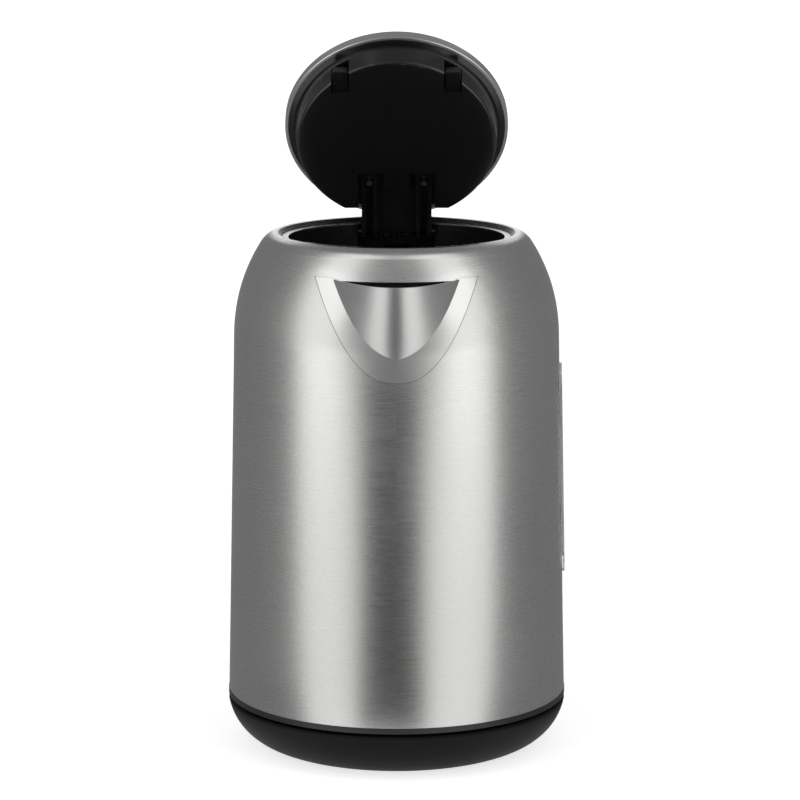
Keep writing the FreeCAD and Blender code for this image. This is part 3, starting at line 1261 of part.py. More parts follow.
doc.recompute()
faults = [item.Name for item in doc.Objects if "Invalid" in item.State or "Error" in item.State]
if faults:
    raise SystemExit(f"not computed: {faults}")
os.makedirs("parts", exist_ok=True)
for thing in NODES:
    shape = thing.Shape
    if shape.isNull() or not shape.isValid() or not shape.Solids:
        raise SystemExit(f"bad shape: {thing.Label}")
    shape.exportStep(f"parts/{thing.Label}.step")
    box = shape.BoundBox
    print(f"{thing.Label:20s} solids {len(shape.Solids)} volume {shape.Volume:10.1f}",
          f"x {box.XMin:.1f} {box.XMax:.1f} y {box.YMin:.1f} {box.YMax:.1f} z {box.ZMin:.1f} {box.ZMax:.1f}")
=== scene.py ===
# %% [markdown]
# # A brushed steel kettle with its lid open
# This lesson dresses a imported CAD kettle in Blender. The CAD model already holds every piece at
# its real size, in metres, so the frame is loaded first and nothing in it is moved. The spout of
# the kettle points to -Y, its handle to +Y, and its water gauge is on the +X side.

# %% Load the frame
import json
import math
import bpy
import bmesh
from mathutils import Matrix, Vector
from mathutils.bvhtree import BVHTree


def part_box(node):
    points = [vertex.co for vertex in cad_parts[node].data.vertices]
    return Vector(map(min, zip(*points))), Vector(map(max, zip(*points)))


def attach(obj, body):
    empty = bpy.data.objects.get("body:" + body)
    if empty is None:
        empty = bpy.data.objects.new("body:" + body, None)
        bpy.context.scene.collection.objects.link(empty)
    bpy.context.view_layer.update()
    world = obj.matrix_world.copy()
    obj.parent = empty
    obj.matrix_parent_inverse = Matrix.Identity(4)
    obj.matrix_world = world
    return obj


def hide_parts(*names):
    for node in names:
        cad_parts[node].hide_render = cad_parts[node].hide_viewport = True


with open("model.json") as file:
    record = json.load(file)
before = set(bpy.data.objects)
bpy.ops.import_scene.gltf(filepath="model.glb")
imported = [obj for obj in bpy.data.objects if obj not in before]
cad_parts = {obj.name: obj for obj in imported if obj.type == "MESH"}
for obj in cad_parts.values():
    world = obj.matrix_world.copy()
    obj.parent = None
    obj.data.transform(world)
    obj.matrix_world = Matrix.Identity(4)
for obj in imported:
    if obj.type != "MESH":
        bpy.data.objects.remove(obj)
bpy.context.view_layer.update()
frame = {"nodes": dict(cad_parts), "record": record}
nodes = frame["nodes"]

# %% [markdown]
# ## A small language for shader maths
# A finish is a formula over the surface, such as a streak pattern that is mixed with a grain.
# Node by node that is long to write, so one class wraps a socket. Adding, multiplying or
# subtracting two wrapped sockets adds the Math node that does it, and `node` makes any other
# node from its type, its settings and what goes into its sockets.

# %% The wrapped socket


class Field:
    """One output socket in a material, with arithmetic."""

    def __init__(self, tree, socket):
        self.tree = tree
        self.socket = socket

    def _math(self, operation, first, second):
        return Field.node(self.tree, "ShaderNodeMath", {"operation": operation}, {0: first, 1: second})

    def __add__(self, other):
        return self._math("ADD", self, other)

    __radd__ = __add__

    def __mul__(self, other):
        return self._math("MULTIPLY", self, other)

    __rmul__ = __mul__

    def __sub__(self, other):
        return self._math("SUBTRACT", self, other)

    def __rsub__(self, other):
        return self._math("SUBTRACT", other, self)

    @staticmethod
    def node(tree, kind, settings=None, inputs=None, output=0):
        """Makes a node, sets its settings first, then fills or links its sockets."""
        made = tree.nodes.new(kind)
        for name, value in (settings or {}).items():
            setattr(made, name, value)
        for name, value in (inputs or {}).items():
            if isinstance(value, Field):
                tree.links.new(value.socket, made.inputs[name])
            else:
                made.inputs[name].default_value = value
        return Field(tree, made.outputs[output])


def new_material(name):
    """An empty Principled material: its tree, its shader and its Object coordinates."""
    material = bpy.data.materials.new(name)
    material.use_nodes = True
    tree = material.node_tree
    shader = tree.nodes["Principled BSDF"]
    place = Field.node(tree, "ShaderNodeTexCoord", output="Object")
    return material, tree, shader, place


def feed(tree, field, shader, socket):
    """Links a field to a shader socket."""
    tree.links.new(field.socket, shader.inputs[socket])


NOISE_ROUGHNESS = 0.55


def grain(tree, place, size, stretch=(1, 1, 1), detail=2.0):
    """Noise between 0 and 1 whose spots are about `size` metres across, before stretching."""
    stretched = Field.node(tree, "ShaderNodeMapping", None, {"Vector": place, "Scale": stretch})
    sockets = {"Vector": stretched, "Scale": 1.0 / size, "Detail": detail, "Roughness": NOISE_ROUGHNESS}
    return Field.node(tree, "ShaderNodeTexNoise", None, sockets, "Fac")


# A Mix node has sockets for numbers, vectors and colours. These are the numbers of the ones for colours.
MIX_FACTOR = 0
MIX_FIRST = 6
MIX_SECOND = 7
MIX_RESULT = 2


def two_tone(tree, field, dark, light):
    """A colour between two tones, chosen by a field."""
    sockets = {MIX_FACTOR: field, MIX_FIRST: (*dark, 1), MIX_SECOND: (*light, 1)}
    return Field.node(tree, "ShaderNodeMix", {"data_type": "RGBA"}, sockets, MIX_RESULT)


def bumped(tree, field, depth, strength=1.0):
    """A Bump node that reads a field as a height in metres."""
    return Field.node(tree, "ShaderNodeBump", None,
                      {"Height": field, "Distance": depth, "Strength": strength}, "Normal")


print("shader language ready")

# %% [markdown]
# ## Brushed steel
# The body was turned under an abrasive belt, so its scratches run round it in level lines about
# a fifth of a millimetre apart. Such lines smear every reflection up and down, which makes tall
# soft bands of light. A noise stretched far along the circumference gives the lines. They go
# round the axis, so the pattern is laid over the angle and the height and not over X and Y. The
# lid was brushed straight across on a flat belt, so its lines simply follow X.

# %% Brushed steel finishes

# About the radius of the body, which turns an angle into metres round it.
BODY_RADIUS = 0.075


def round_and_up(tree, place):
    """Coordinates that run round the kettle axis and up it, in metres."""
    x, y, z = (Field.node(tree, "ShaderNodeSeparateXYZ", None, {0: place}, axis) for axis in "XYZ")
    angle = Field.node(tree, "ShaderNodeMath", {"operation": "ARCTAN2"}, {0: x, 1: y})
    return Field.node(tree, "ShaderNodeCombineXYZ", None, {"X": angle * BODY_RADIUS, "Y": z})


# Sizes and depths are in metres. Lines and wear add to the roughness, and MEAN_ROUGHENING is about
# what they add on average.
FINE_DETAIL = 3.0
LINE_SHARE = 0.75
LINE_ROUGHENS = 0.10
LINE_DEPTH = 0.000010
LINE_BUMP = 0.4
WEAR_SIZE = 0.03
WEAR_STRETCH = 0.4
WEAR_ROUGHENS = 0.05
MEAN_ROUGHENING = 0.07
SMEAR = 0.65


def brushed_steel(name, dark, light, rough, line_size=0.00022, lengthwise=0.012, turned=True):
    """Steel with fine lines, round the kettle where it was turned and along X where it was not."""
    material, tree, shader, place = new_material(name)
    along = round_and_up(tree, place) if turned else place
    lines = grain(tree, along, line_size, (lengthwise, 1, 1), FINE_DETAIL)
    wear = grain(tree, along, WEAR_SIZE, (WEAR_STRETCH, 1, 1))
    blend = lines * LINE_SHARE + wear * (1 - LINE_SHARE)
    feed(tree, two_tone(tree, blend, dark, light), shader, "Base Color")
    swing = lines * LINE_ROUGHENS + wear * WEAR_ROUGHENS
    feed(tree, swing + (rough - MEAN_ROUGHENING), shader, "Roughness")
    feed(tree, bumped(tree, lines, LINE_DEPTH, LINE_BUMP), shader, "Normal")
    shader.inputs["Metallic"].default_value = 1.0
    shader.inputs["Anisotropic"].default_value = SMEAR if turned else 0.0
    return material


STEEL_DARK = (0.565, 0.562, 0.557)
STEEL_LIGHT = (0.655, 0.651, 0.645)
body_steel = brushed_steel("body_brushed_steel", STEEL_DARK, STEEL_LIGHT, rough=0.27)
lid_steel = brushed_steel("lid_brushed_steel", STEEL_DARK, STEEL_LIGHT, rough=0.34, turned=False)
spout_steel = brushed_steel("spout_satin_steel", (0.58, 0.577, 0.572), (0.70, 0.696, 0.69), rough=0.30,
                            line_size=0.0003, lengthwise=0.02)
inner_steel = brushed_steel("inner_mill_steel", (0.40, 0.40, 0.40), (0.55, 0.55, 0.55), rough=0.40,
                            line_size=0.0005, lengthwise=0.05)
print("steel finishes:", body_steel.name, lid_steel.name, spout_steel.name, inner_steel.name)

# %% [markdown]
# ## Plastics, rubber and small metals
# The base is moulded with a fine spark texture that scatters light. The lid plug, the collar and
# the hinge are polished black, so only a faint change of gloss shows on them. Picture textures
# would need a UV map on every piece, while noise on Object coordinates fits any shape. One
# function therefore makes all of these from noise: a base tone, a little speckle, a roughness
# that wanders and a shallow grain.

# %% Moulded and plain finishes

BROAD_SIZE = 0.025
FINE_SHARE = 0.7


def moulded(name, tone, speckle, rough, wander, grain_size, grain_depth, metallic=0.0, specular=0.5):
    """A finish whose colour and roughness wander a little; the grain is given in metres."""
    material, tree, shader, place = new_material(name)
    fine = grain(tree, place, grain_size, detail=FINE_DETAIL)
    broad = grain(tree, place, BROAD_SIZE)
    light = tuple(min(channel + speckle, 1) for channel in tone)
    blend = fine * FINE_SHARE + broad * (1 - FINE_SHARE)
    feed(tree, two_tone(tree, blend, tone, light), shader, "Base Color")
    swing = broad * wander + fine * (wander / 2)
    mean_swing = (wander + wander / 2) / 2
    feed(tree, swing + (rough - mean_swing), shader, "Roughness")
    feed(tree, bumped(tree, fine, grain_depth), shader, "Normal")
    shader.inputs["Metallic"].default_value = metallic
    shader.inputs["Specular IOR Level"].default_value = specular
    return material


charcoal = moulded("base_charcoal", (0.005, 0.005, 0.0055), speckle=0.006, rough=0.60, wander=0.08,
                   grain_size=0.0006, grain_depth=0.00004, specular=0.12)
black_gloss = moulded("polished_black", (0.007, 0.007, 0.0075), speckle=0.003, rough=0.20, wander=0.05,
                      grain_size=0.004, grain_depth=0.000004, specular=0.65)
black_matte = moulded("satin_black", (0.008, 0.008, 0.009), speckle=0.008, rough=0.42, wander=0.10,
                      grain_size=0.0008, grain_depth=0.00003)
white_moulding = moulded("control_white", (0.62, 0.62, 0.60), speckle=0.06, rough=0.45, wander=0.10,
                         grain_size=0.0008, grain_depth=0.00003)
rubber = moulded("foot_rubber", (0.015, 0.015, 0.015), speckle=0.02, rough=0.75, wander=0.10,
                 grain_size=0.0005, grain_depth=0.00006)
silicone = moulded("seal_silicone", (0.38, 0.38, 0.38), speckle=0.06, rough=0.55, wander=0.08,
                   grain_size=0.001, grain_depth=0.00002)
brass = moulded("contact_brass", (0.62, 0.45, 0.20), speckle=0.12, rough=0.30, wander=0.12,
                grain_size=0.0007, grain_depth=0.00001, metallic=1.0)
cast_aluminium = moulded("spreader_aluminium", (0.55, 0.55, 0.56), speckle=0.12, rough=0.42, wander=0.14,
                         grain_size=0.0015, grain_depth=0.00004, metallic=1.0)
plated = moulded("screw_plating", (0.48, 0.48, 0.49), speckle=0.10, rough=0.25, wander=0.10,
                 grain_size=0.0006, grain_depth=0.00001, metallic=1.0)
spring_steel = moulded("spring_steel", (0.30, 0.30, 0.31), speckle=0.10, rough=0.30, wander=0.12,
                       grain_size=0.0006, grain_depth=0.00001, metallic=1.0)
print("moulded and plain finishes: 10")

# %% [markdown]
# ## Clear gauge
# The gauge is a thick clear moulding. A transmissive Principled shader with a slight grey tint
# does that, and a faint ripple in the roughness keeps it from looking like nothing at all.

# %% Clear finish

RIPPLE_SIZE = 0.006
RIPPLE_ROUGHENS = 0.08
CLEAR_ROUGH = 0.06


def clear_moulding(name):
    """Clear plastic with a faint tint and a gloss that changes in ripples."""
    material, tree, shader, place = new_material(name)
    ripple = grain(tree, place, RIPPLE_SIZE)
    feed(tree, two_tone(tree, ripple, (0.70, 0.72, 0.73), (0.80, 0.82, 0.83)), shader, "Base Color")
    feed(tree, ripple * RIPPLE_ROUGHENS + CLEAR_ROUGH, shader, "Roughness")
    shader.inputs["Transmission Weight"].default_value = 0.85
    shader.inputs["IOR"].default_value = 1.49
    return material


clear_gauge = clear_moulding("clear_gauge")
print("clear finish:", clear_gauge.name)

# %% [markdown]
# ## Finishes on the CAD pieces
# A CAD node whose shape is right stays as it is and only gets a finish. The record names a
# material slot for each node, and a table turns that name into one of the finishes above. Only
# the lid differs from the body, because it was brushed the other way.

# %% Give every node its finish

FINISH = {"steel": body_steel, "spout_steel": spout_steel, "inner_steel": inner_steel,
          "charcoal_plastic": charcoal, "black_gloss": black_gloss, "black_matte": black_matte,
          "clear_plastic": clear_gauge, "white_plastic": white_moulding, "rubber": rubber,
          "silicone": silicone, "brass": brass, "aluminium": cast_aluminium, "screw_steel": plated,
          "spring_steel": spring_steel}
slot_of = {part["node"]: part["material_slot"] for part in frame["record"]["subparts"]}
members_of = frame["record"]["behaviour"]["bodies"]
body_of = {node: body for body, members in members_of.items() for node in members}
for node, piece in nodes.items():
    piece.data.materials.clear()
    piece.data.materials.append(FINISH[slot_of[node]])
nodes["lid_cover"].data.materials[0] = lid_steel
print("finished nodes:", len(nodes))

# %% [markdown]
# ## Lid cover
# The lid is a pressed disc with a shallow crown. The triangles of its top meet in one point on its
# axis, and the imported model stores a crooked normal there, which shows as a dimple. A copy with its
# doubled points joined gets fresh normals from its faces, and only its real edges stay sharp.

# %% Smooth the lid cover

SAME_POINT = 1e-6
CREASE = math.radians(30)


def merged(node):
    """A node's mesh with its doubled points joined and its stored normals dropped."""
    mesh = nodes[node].data.copy()
    mesh.attributes.remove(mesh.attributes["custom_normal"])
    build = bmesh.new()
    build.from_mesh(mesh)
    bmesh.ops.remove_doubles(build, verts=build.verts, dist=SAME_POINT)
    for part in (*build.edges, *build.faces):
        part.smooth = True
    build.to_mesh(mesh)
    build.free()
    return mesh


def placed(name, mesh, body):
    """Puts a finished mesh in the scene, riding on a body."""
    piece = bpy.data.objects.new(name, mesh)
    bpy.context.scene.collection.objects.link(piece)
    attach(piece, body)
    return piece


lid_mesh = merged("lid_cover")
lid_mesh.set_sharp_from_angle(angle=CREASE)
lid = placed("lid_cover_smooth", lid_mesh, body_of["lid_cover"])
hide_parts("lid_cover")
print(lid.name, "faces:", len(lid_mesh.polygons))

# %% [markdown]
# ## Rounded edges on the lid
# Moulded edges are never quite sharp, and on polished black the thin light along a rounded edge
# is nearly all there is to see. A Bevel node in the shader could fake that, but an exported mesh
# would lose it. The black pieces of the lid are therefore copied, their flat faces are joined
# up, and a Bevel modifier rounds each sharp edge by a fraction of a millimetre.

# %% Round the black edges


def baked(holder, name):
    """The mesh that an object's modifiers make; the object itself is removed."""
    evaluated = holder.evaluated_get(bpy.context.evaluated_depsgraph_get())
    mesh = bpy.data.meshes.new_from_object(evaluated)
    mesh.name = name
    holder.modifiers.clear()
    bpy.data.objects.remove(holder)
    return mesh


FLAT = math.radians(0.5)
SHARP = math.radians(35)
BEVEL_STEPS = 2


def eased(node, width):
    """Makes a copy of a node with rounded edges, which stands for the node."""
    mesh = merged(node)
    build = bmesh.new()
    build.from_mesh(mesh)
    bmesh.ops.dissolve_limit(build, angle_limit=FLAT, verts=build.verts, edges=build.edges)
    build.to_mesh(mesh)
    build.free()
    holder = bpy.data.objects.new(node + "_sharp", mesh)
    bpy.context.scene.collection.objects.link(holder)
    bevel = holder.modifiers.new("ease", "BEVEL")
    bevel.width = width
    bevel.segments = BEVEL_STEPS
    bevel.angle_limit = SHARP
    bevel.harden_normals = True
    piece = placed(node + "_eased", baked(holder, node + "_eased"), body_of[node])
    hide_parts(node)
    print(piece.name, "faces:", len(piece.data.polygons))


EDGE_WIDTH = {"lid_hinge_arm": 0.0004, "lid_latch": 0.0003, "lid_plug": 0.0004}
for node, width in EDGE_WIDTH.items():
    eased(node, width)

# %% [markdown]
# ## Growing pieces with Geometry Nodes
# Three pieces repeat a shape or follow a path: the filter gauze, the hinge spring and the seam
# round the spout. Each comes from a small Geometry Nodes tree with named inputs for its sizes.
# These helpers start a tree, give a curve a round section, end the tree in real geometry, because
# instances would not be exported, and keep the mesh that the tree makes.

# %% Geometry Nodes helpers


def new_tree(name, sizes):
    """An empty Geometry Nodes tree: geometry in and out, and named inputs."""
    tree = bpy.data.node_groups.new(name, "GeometryNodeTree")
    tree.interface.new_socket("Geometry", in_out="OUTPUT", socket_type="NodeSocketGeometry")
    tree.interface.new_socket("Geometry", in_out="INPUT", socket_type="NodeSocketGeometry")
    for label, kind in sizes:
        tree.interface.new_socket(label, in_out="INPUT", socket_type="NodeSocket" + kind)
    return tree, tree.nodes.new("NodeGroupInput"), tree.nodes.new("NodeGroupOutput")


def tube(tree, curve, radius, sides):
    """Gives a curve a round section of a radius that comes from a socket."""
    ring = tree.nodes.new("GeometryNodeCurvePrimitiveCircle")
    ring.inputs["Resolution"].default_value = sides
    tree.links.new(radius, ring.inputs["Radius"])
    skin = tree.nodes.new("GeometryNodeCurveToMesh")
    skin.inputs["Fill Caps"].default_value = True
    tree.links.new(curve, skin.inputs["Curve"])
    tree.links.new(ring.outputs[0], skin.inputs["Profile Curve"])
    return skin.outputs[0]


def finish_tree(tree, geometry, output, material):
    """Ends a tree in real geometry with its finish."""
    real = tree.nodes.new("GeometryNodeRealizeInstances")
    painted = tree.nodes.new("GeometryNodeSetMaterial")
    painted.inputs["Material"].default_value = material
    tree.links.new(geometry, real.inputs[0])
    tree.links.new(real.outputs[0], painted.inputs["Geometry"])
    tree.links.new(painted.outputs[0], output.inputs[0])


def grown(name, tree, values, path=()):
    """Runs a tree with its named inputs, on a line through the points of a path if there is one."""
    line = bpy.data.meshes.new(name + "_line")
    line.from_pydata(path, [(index, index + 1) for index in range(len(path) - 1)], [])
    holder = bpy.data.objects.new(name + "_line", line)
    bpy.context.scene.collection.objects.link(holder)
    modifier = holder.modifiers.new("grow", "NODES")
    modifier.node_group = tree
    labels = {item.name: item.identifier for item in tree.interface.items_tree if item.in_out == "INPUT"}
    for label, value in values.items():
        modifier[labels[label]] = value
    mesh = baked(holder, name)
    print(name, "faces:", len(mesh.polygons))
    return mesh


print("Geometry Nodes helpers ready")

# %% [markdown]
# ## Filter gauze
# Behind the spout a woven gauze holds back scale. It is two sets of wires that cross. Drawing
# seventy wires by hand would be slow, so the tree makes one wire of each set and copies it to
# every point of a line. The width and height of the gauze come from the box of the CAD node.

# %% Woven wires


def wire_tree(material):
    """A tree of round wires up and across a rectangle in the XZ plane."""
    sizes = [("Width", "Float"), ("Height", "Float"), ("Across", "Int"), ("Up", "Int"), ("Wire", "Float")]
    tree, source, output = new_tree("gauze_wires", sizes)
    join = tree.nodes.new("GeometryNodeJoinGeometry")

    def end(label, axis, share):
        """A point on an axis, at a share of one of the tree's sizes."""
        part = tree.nodes.new("ShaderNodeMath")
        part.operation = "MULTIPLY"
        part.inputs[1].default_value = share
        tree.links.new(source.outputs[label], part.inputs[0])
        spot = tree.nodes.new("ShaderNodeCombineXYZ")
        tree.links.new(part.outputs[0], spot.inputs[axis])
        return spot.outputs[0]

    for count, span, axis, run, run_axis in (("Across", "Width", "X", "Height", "Z"),
                                             ("Up", "Height", "Z", "Width", "X")):
        row = tree.nodes.new("GeometryNodeMeshLine")
        row.mode = "END_POINTS"
        tree.links.new(source.outputs[count], row.inputs["Count"])
        tree.links.new(end(span, axis, -0.5), row.inputs["Start Location"])
        tree.links.new(end(span, axis, 0.5), row.inputs["Offset"])
        strand = tree.nodes.new("GeometryNodeCurvePrimitiveLine")
        tree.links.new(end(run, run_axis, -0.5), strand.inputs["Start"])
        tree.links.new(end(run, run_axis, 0.5), strand.inputs["End"])
        copies = tree.nodes.new("GeometryNodeInstanceOnPoints")
        tree.links.new(row.outputs[0], copies.inputs["Points"])
        wire = tube(tree, strand.outputs[0], source.outputs["Wire"], sides=6)
        tree.links.new(wire, copies.inputs["Instance"])
        tree.links.new(copies.outputs[0], join.inputs[0])
    finish_tree(tree, join.outputs[0], output, material)
    return tree


low, high = (Vector(corner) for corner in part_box("filter_mesh"))
gauze_mesh = grown("filter_gauze", wire_tree(inner_steel),
                   {"Width": high.x - low.x, "Height": high.z - low.z,
                    "Across": 41, "Up": 29, "Wire": 0.00014})
gauze_mesh.transform(Matrix.Translation((low + high) / 2))
gauze = placed("filter_gauze", gauze_mesh, body_of["filter_mesh"])
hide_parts("filter_mesh")

# %% [markdown]
# ## Hinge spring
# A torsion spring on the hinge pin throws the lid open. Its coil could be drawn point by point, but
# a spiral whose radius does not change is already a coil. The tree makes such a spiral and gives
# it a round wire section, and the mesh is then turned to lie along the pin.

# %% Coiled spring


def coil_tree(material):
    """A tree of one coil that climbs along Z."""
    sizes = [("Turns", "Float"), ("Radius", "Float"), ("Length", "Float"), ("Wire", "Float")]
    tree, source, output = new_tree("hinge_coil", sizes)
    spiral = tree.nodes.new("GeometryNodeCurveSpiral")
    spiral.inputs["Resolution"].default_value = 24
    for label, socket in (("Turns", "Rotations"), ("Radius", "Start Radius"), ("Radius", "End Radius"),
                          ("Length", "Height")):
        tree.links.new(source.outputs[label], spiral.inputs[socket])
    wire = tube(tree, spiral.outputs[0], source.outputs["Wire"], sides=10)
    finish_tree(tree, wire, output, material)
    return tree


low, high = (Vector(corner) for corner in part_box("hinge_spring"))
middle = (low + high) / 2
COIL_WIRE = 0.0005
coil_mesh = grown("hinge_coil", coil_tree(spring_steel),
                  {"Turns": 9.0, "Radius": (high.z - low.z) / 2 - COIL_WIRE,
                   "Length": high.x - low.x - 2 * COIL_WIRE, "Wire": COIL_WIRE})
coil_mesh.transform(Matrix.Rotation(math.pi / 2, 4, "Y"))
coil_mesh.transform(Matrix.Translation((low.x + COIL_WIRE, middle.y, middle.z)))
coil = placed("hinge_coil", coil_mesh, body_of["hinge_spring"])
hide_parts("hinge_spring")

# %% [markdown]
# ## Seam and painted shade round the spout
# The spout is welded to the body through a flange, and the joint shows as a fine dark line. That
# line is drawn here as a thin dark tube, which also paints in the shade at the foot of the proud
# flange. Seen from the front the edge of the flange is a simple curve: its width grows with a
# power of its height. Points on that curve are dropped straight back onto the steel, and the
# tube follows them. The outline comes from the box of the spout, so it fits the CAD flange.

# %% Seam line with painted shade


def seam_and_shade_tree(material):
    """A tree that turns a line of points into a thin tube."""
    tree, source, output = new_tree("seam_and_shade_line", [("Wire", "Float")])
    line = tree.nodes.new("GeometryNodeMeshToCurve")
    tree.links.new(source.outputs["Geometry"], line.inputs["Mesh"])
    thread = tube(tree, line.outputs[0], source.outputs["Wire"], sides=6)
    finish_tree(tree, thread, output, material)
    return tree


# A dark grey metal for the tube: it stands for the welded joint and also paints in the shade at the foot
# of the flange.
seam_and_painted_shade = moulded("seam_and_painted_shade", (0.10, 0.10, 0.10), speckle=0.04, rough=0.5, wander=0.1,
                    grain_size=0.0006, grain_depth=0.00001, metallic=0.6)
low, high = (Vector(corner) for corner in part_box("spout"))
POINTS_PER_SIDE = 80
OUTLINE_POWER = 0.42
BACKWARDS = Vector((0, 1, 0))
steel_surface = BVHTree.FromPolygons([point.co for point in nodes["body_shell"].data.vertices],
                                     [face.vertices for face in nodes["body_shell"].data.polygons])
seam_path = []
for step in range(-POINTS_PER_SIDE, POINTS_PER_SIDE + 1):
    share = (step / POINTS_PER_SIDE) ** 2
    across = math.copysign(high.x * share ** OUTLINE_POWER, step)
    start = Vector((across, low.y, low.z + (high.z - low.z) * share))
    seam_path.append(steel_surface.ray_cast(start, BACKWARDS)[0])
# The thin dark tube follows the foot of the flange, where it paints in shade as well as the joint.
seam_and_shade_mesh = grown("spout_seam_and_shade", seam_and_shade_tree(seam_and_painted_shade), {"Wire": 0.0003}, seam_path)
placed("spout_seam_and_shade", seam_and_shade_mesh, body_of["spout"])

# %% [markdown]
# ## Floor and white backdrop
# The kettle stands in front of a white sheet. Light Path tells what kind of ray meets the floor:
# the camera, mirrors and glass see it glow white, and the light that falls on it still makes a
# shadow. The glow grows towards the back, where the lamps no longer reach. The world round the
# set stays grey, because steel looks like steel only when it has something dark to reflect.

# %% Floor, backdrop and world


def sheet_object(name, corners, material):
    """A flat sheet of the studio through four corners."""
    mesh = bpy.data.meshes.new(name)
    mesh.from_pydata(corners, [], [(0, 1, 2, 3)])
    mesh.materials.append(material)
    sheet = bpy.data.objects.new(name, mesh)
    bpy.context.scene.collection.objects.link(sheet)
    return sheet


CLOUD_SIZE = 0.2
# The glow starts to change where the slope times Y passes the lag, a third of a metre behind the axis.
FADE_SLOPE = 0.6
FADE_LAG = 0.2


def glowing_sheet(name, near, far):
    """Pale and matte, with a glow for the rays that look at it, which changes towards the back."""
    material, tree, shader, place = new_material(name)
    cloud = grain(tree, place, CLOUD_SIZE)
    feed(tree, two_tone(tree, cloud, (0.78, 0.78, 0.78), (0.82, 0.82, 0.82)), shader, "Base Color")
    shader.inputs["Roughness"].default_value = 0.9
    shader.inputs["Specular IOR Level"].default_value = 0.0
    seen = Field.node(tree, "ShaderNodeLightPath", output="Is Camera Ray")
    for kind in ("Is Glossy Ray", "Is Transmission Ray"):
        seen = Field.node(tree, "ShaderNodeMath", {"operation": "MAXIMUM"},
                          {0: seen, 1: Field.node(tree, "ShaderNodeLightPath", output=kind)})
    back = Field.node(tree, "ShaderNodeSeparateXYZ", None, {0: place}, "Y") * FADE_SLOPE - FADE_LAG
    light = Field.node(tree, "ShaderNodeEmission", None,
                       {"Color": two_tone(tree, back, (near,) * 3, (far,) * 3), "Strength": seen})
    both = Field.node(tree, "ShaderNodeAddShader", None, {1: light})
    tree.links.new(shader.outputs[0], both.socket.node.inputs[0])
    tree.links.new(both.socket, tree.nodes["Material Output"].inputs["Surface"])
    return material


SET_HALF = 1.6
FRONT = -1.6
BACK = 2.4
TALL = 2.0
sheet_object("floor", [(-SET_HALF, FRONT, 0), (SET_HALF, FRONT, 0),
                       (SET_HALF, BACK, 0), (-SET_HALF, BACK, 0)],
             glowing_sheet("floor_sheet", near=0.72, far=1.0))
sheet_object("backdrop", [(-SET_HALF, BACK, 0), (SET_HALF, BACK, 0),
                          (SET_HALF, BACK, TALL), (-SET_HALF, BACK, TALL)],
             glowing_sheet("backdrop_sheet", near=1.0, far=1.0))
world = bpy.data.worlds.new("studio")
world.use_nodes = True
bpy.context.scene.world = world
SURROUND = 0.25
world.node_tree.nodes["Background"].inputs["Color"].default_value = (1, 1, 1, 1)
world.node_tree.nodes["Background"].inputs["Strength"].default_value = SURROUND
print("studio sheets: floor, backdrop")

# %% [markdown]
# ## Dark cards
# Photographers put dark card beside a shiny thing to draw its edges. A black wedge on the floor
# in front makes the dark stripe down the middle of the body. At each side a grey card lies on the
# floor and another stands on it, so that the edges of the body and the dome turn grey. The cards
# show only in reflections and through clear plastic, and a faint glow gives each its tone.

# %% Cards


def card(name, corners, material):
    """A dark sheet that is hidden from the camera, from shadows and from matte surfaces."""
    piece = sheet_object(name, corners, material)
    piece.visible_camera = False
    piece.visible_shadow = False
    piece.visible_diffuse = False


UNEVEN = 0.1


def card_tone(name, level):
    """A black sheet with a faint, slightly uneven glow."""
    material, tree, shader, place = new_material(name)
    cloud = grain(tree, place, CLOUD_SIZE)
    dark = (level * (1 - UNEVEN),) * 3
    light = (level * (1 + UNEVEN),) * 3
    feed(tree, two_tone(tree, cloud, dark, light), shader, "Emission Color")
    shader.inputs["Emission Strength"].default_value = 1.0
    shader.inputs["Base Color"].default_value = (0, 0, 0, 1)
    shader.inputs["Specular IOR Level"].default_value = 0.0
    return material


card_black = card_tone("card_black", level=0.015)
card_grey = card_tone("card_grey", level=0.22)
OFF_FLOOR = 0.002
# Near and far are counted from the kettle.
WEDGE_NEAR = -0.16
WEDGE_NEAR_LEFT = -0.060
WEDGE_NEAR_RIGHT = 0.044
WEDGE_FAR_LEFT = -0.72
WEDGE_FAR_RIGHT = 0.50
wedge = [(WEDGE_NEAR_LEFT, WEDGE_NEAR, OFF_FLOOR), (WEDGE_NEAR_RIGHT, WEDGE_NEAR, OFF_FLOOR),
         (WEDGE_FAR_RIGHT, FRONT, OFF_FLOOR), (WEDGE_FAR_LEFT, FRONT, OFF_FLOOR)]
card("front_wedge", wedge, card_black)
LYING_INNER = 0.09
LYING_INNER_FRONT = -0.10
LYING_OUTER_FRONT = -0.55
lying = [(LYING_INNER, LYING_INNER_FRONT, OFF_FLOOR), (SET_HALF, LYING_OUTER_FRONT, OFF_FLOOR),
         (SET_HALF, BACK, OFF_FLOOR), (LYING_INNER, BACK, OFF_FLOOR)]
STANDING_OUT = 0.45
STANDING_FRONT = -0.15
STANDING_TOP = 0.7
standing = [(STANDING_OUT, STANDING_FRONT, OFF_FLOOR), (STANDING_OUT, BACK, OFF_FLOOR),
            (STANDING_OUT, BACK, STANDING_TOP), (STANDING_OUT, STANDING_FRONT, STANDING_TOP)]
for side, label in ((-1, "left"), (1, "right")):
    card("floor_card_" + label, [(side * x, y, z) for x, y, z in lying], card_grey)
    card("side_card_" + label, [(side * x, y, z) for x, y, z in standing], card_grey)
print("dark cards: 5")

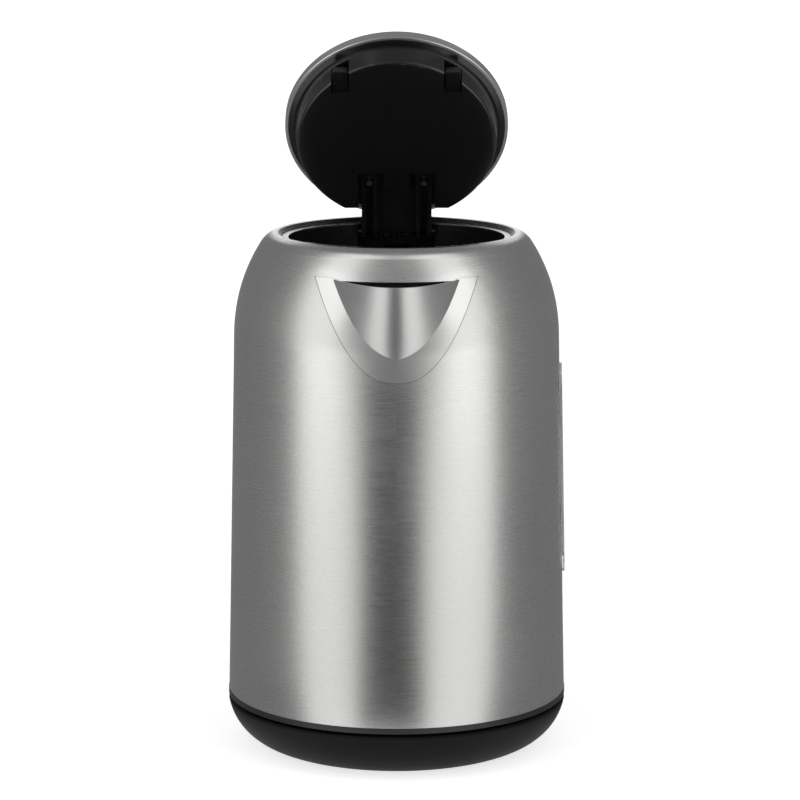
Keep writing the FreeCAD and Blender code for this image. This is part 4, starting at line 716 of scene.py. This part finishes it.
# %% [markdown]
# ## Soft boxes
# The two tall bands of light on the body mirror the white floor between the cards and two tall
# soft boxes above it, one on each side of the camera. A round body shows a lamp where its surface
# halves the angle to it, so a band two fifths of the way out needs a lamp some fifty degrees
# round. Two more boxes, higher up, carry the bands on over the dome and light the lid.

# %% Lamps

AIM = Vector((0, 0, 0.14))


def soft_box(name, azimuth, elevation, distance, width, height, power):
    """Hangs an area lamp round the kettle, pointing at its middle; azimuth 0 is in front."""
    turn = math.radians(azimuth)
    rise = math.radians(elevation)
    away = Vector((math.sin(turn) * math.cos(rise), -math.cos(turn) * math.cos(rise), math.sin(rise)))
    lamp = bpy.data.lights.new(name, "AREA")
    lamp.shape = "RECTANGLE"
    lamp.size = width
    lamp.size_y = height
    lamp.energy = power
    holder = bpy.data.objects.new(name, lamp)
    holder.location = AIM + away * distance
    holder.rotation_euler = (-away).to_track_quat("-Z", "Y").to_euler()
    bpy.context.scene.collection.objects.link(holder)


soft_box("left_box", azimuth=-54, elevation=14, distance=1.3, width=0.9, height=1.4, power=4.6)
soft_box("right_box", azimuth=49, elevation=14, distance=1.3, width=0.85, height=1.4, power=4.6)
soft_box("high_left_box", azimuth=-55, elevation=57, distance=1.4, width=0.66, height=0.9, power=2.1)
soft_box("high_right_box", azimuth=52, elevation=57, distance=1.4, width=0.66, height=0.9, power=2.1)
print("lamps: 4")

# %% [markdown]
# ## Camera
# The picture was taken from about a metre and a half away through a long lens, from a little
# above the kettle. The place, the pitch and the focal length were fitted to the outline of the
# body. The focal length is in pixels of the picture, so it is turned into millimetres here.

# %% Camera

CAMERA_AT = Vector((0.00156, -1.5117, 0.43665))
PITCH = math.radians(10.42)
FOCAL_PIXELS = 3372.8
IMAGE_PIXELS = 800
SENSOR = 36.0
lens = bpy.data.cameras.new("camera")
lens.sensor_width = SENSOR
lens.sensor_fit = "HORIZONTAL"
lens.lens = FOCAL_PIXELS / IMAGE_PIXELS * SENSOR
camera = bpy.data.objects.new("camera", lens)
camera.location = CAMERA_AT
camera.rotation_euler = (math.pi / 2 - PITCH, 0, 0)
bpy.context.scene.collection.objects.link(camera)
bpy.context.scene.camera = camera
bpy.context.scene.view_settings.view_transform = "Standard"
print("focal length:", round(lens.lens, 1), "mm")
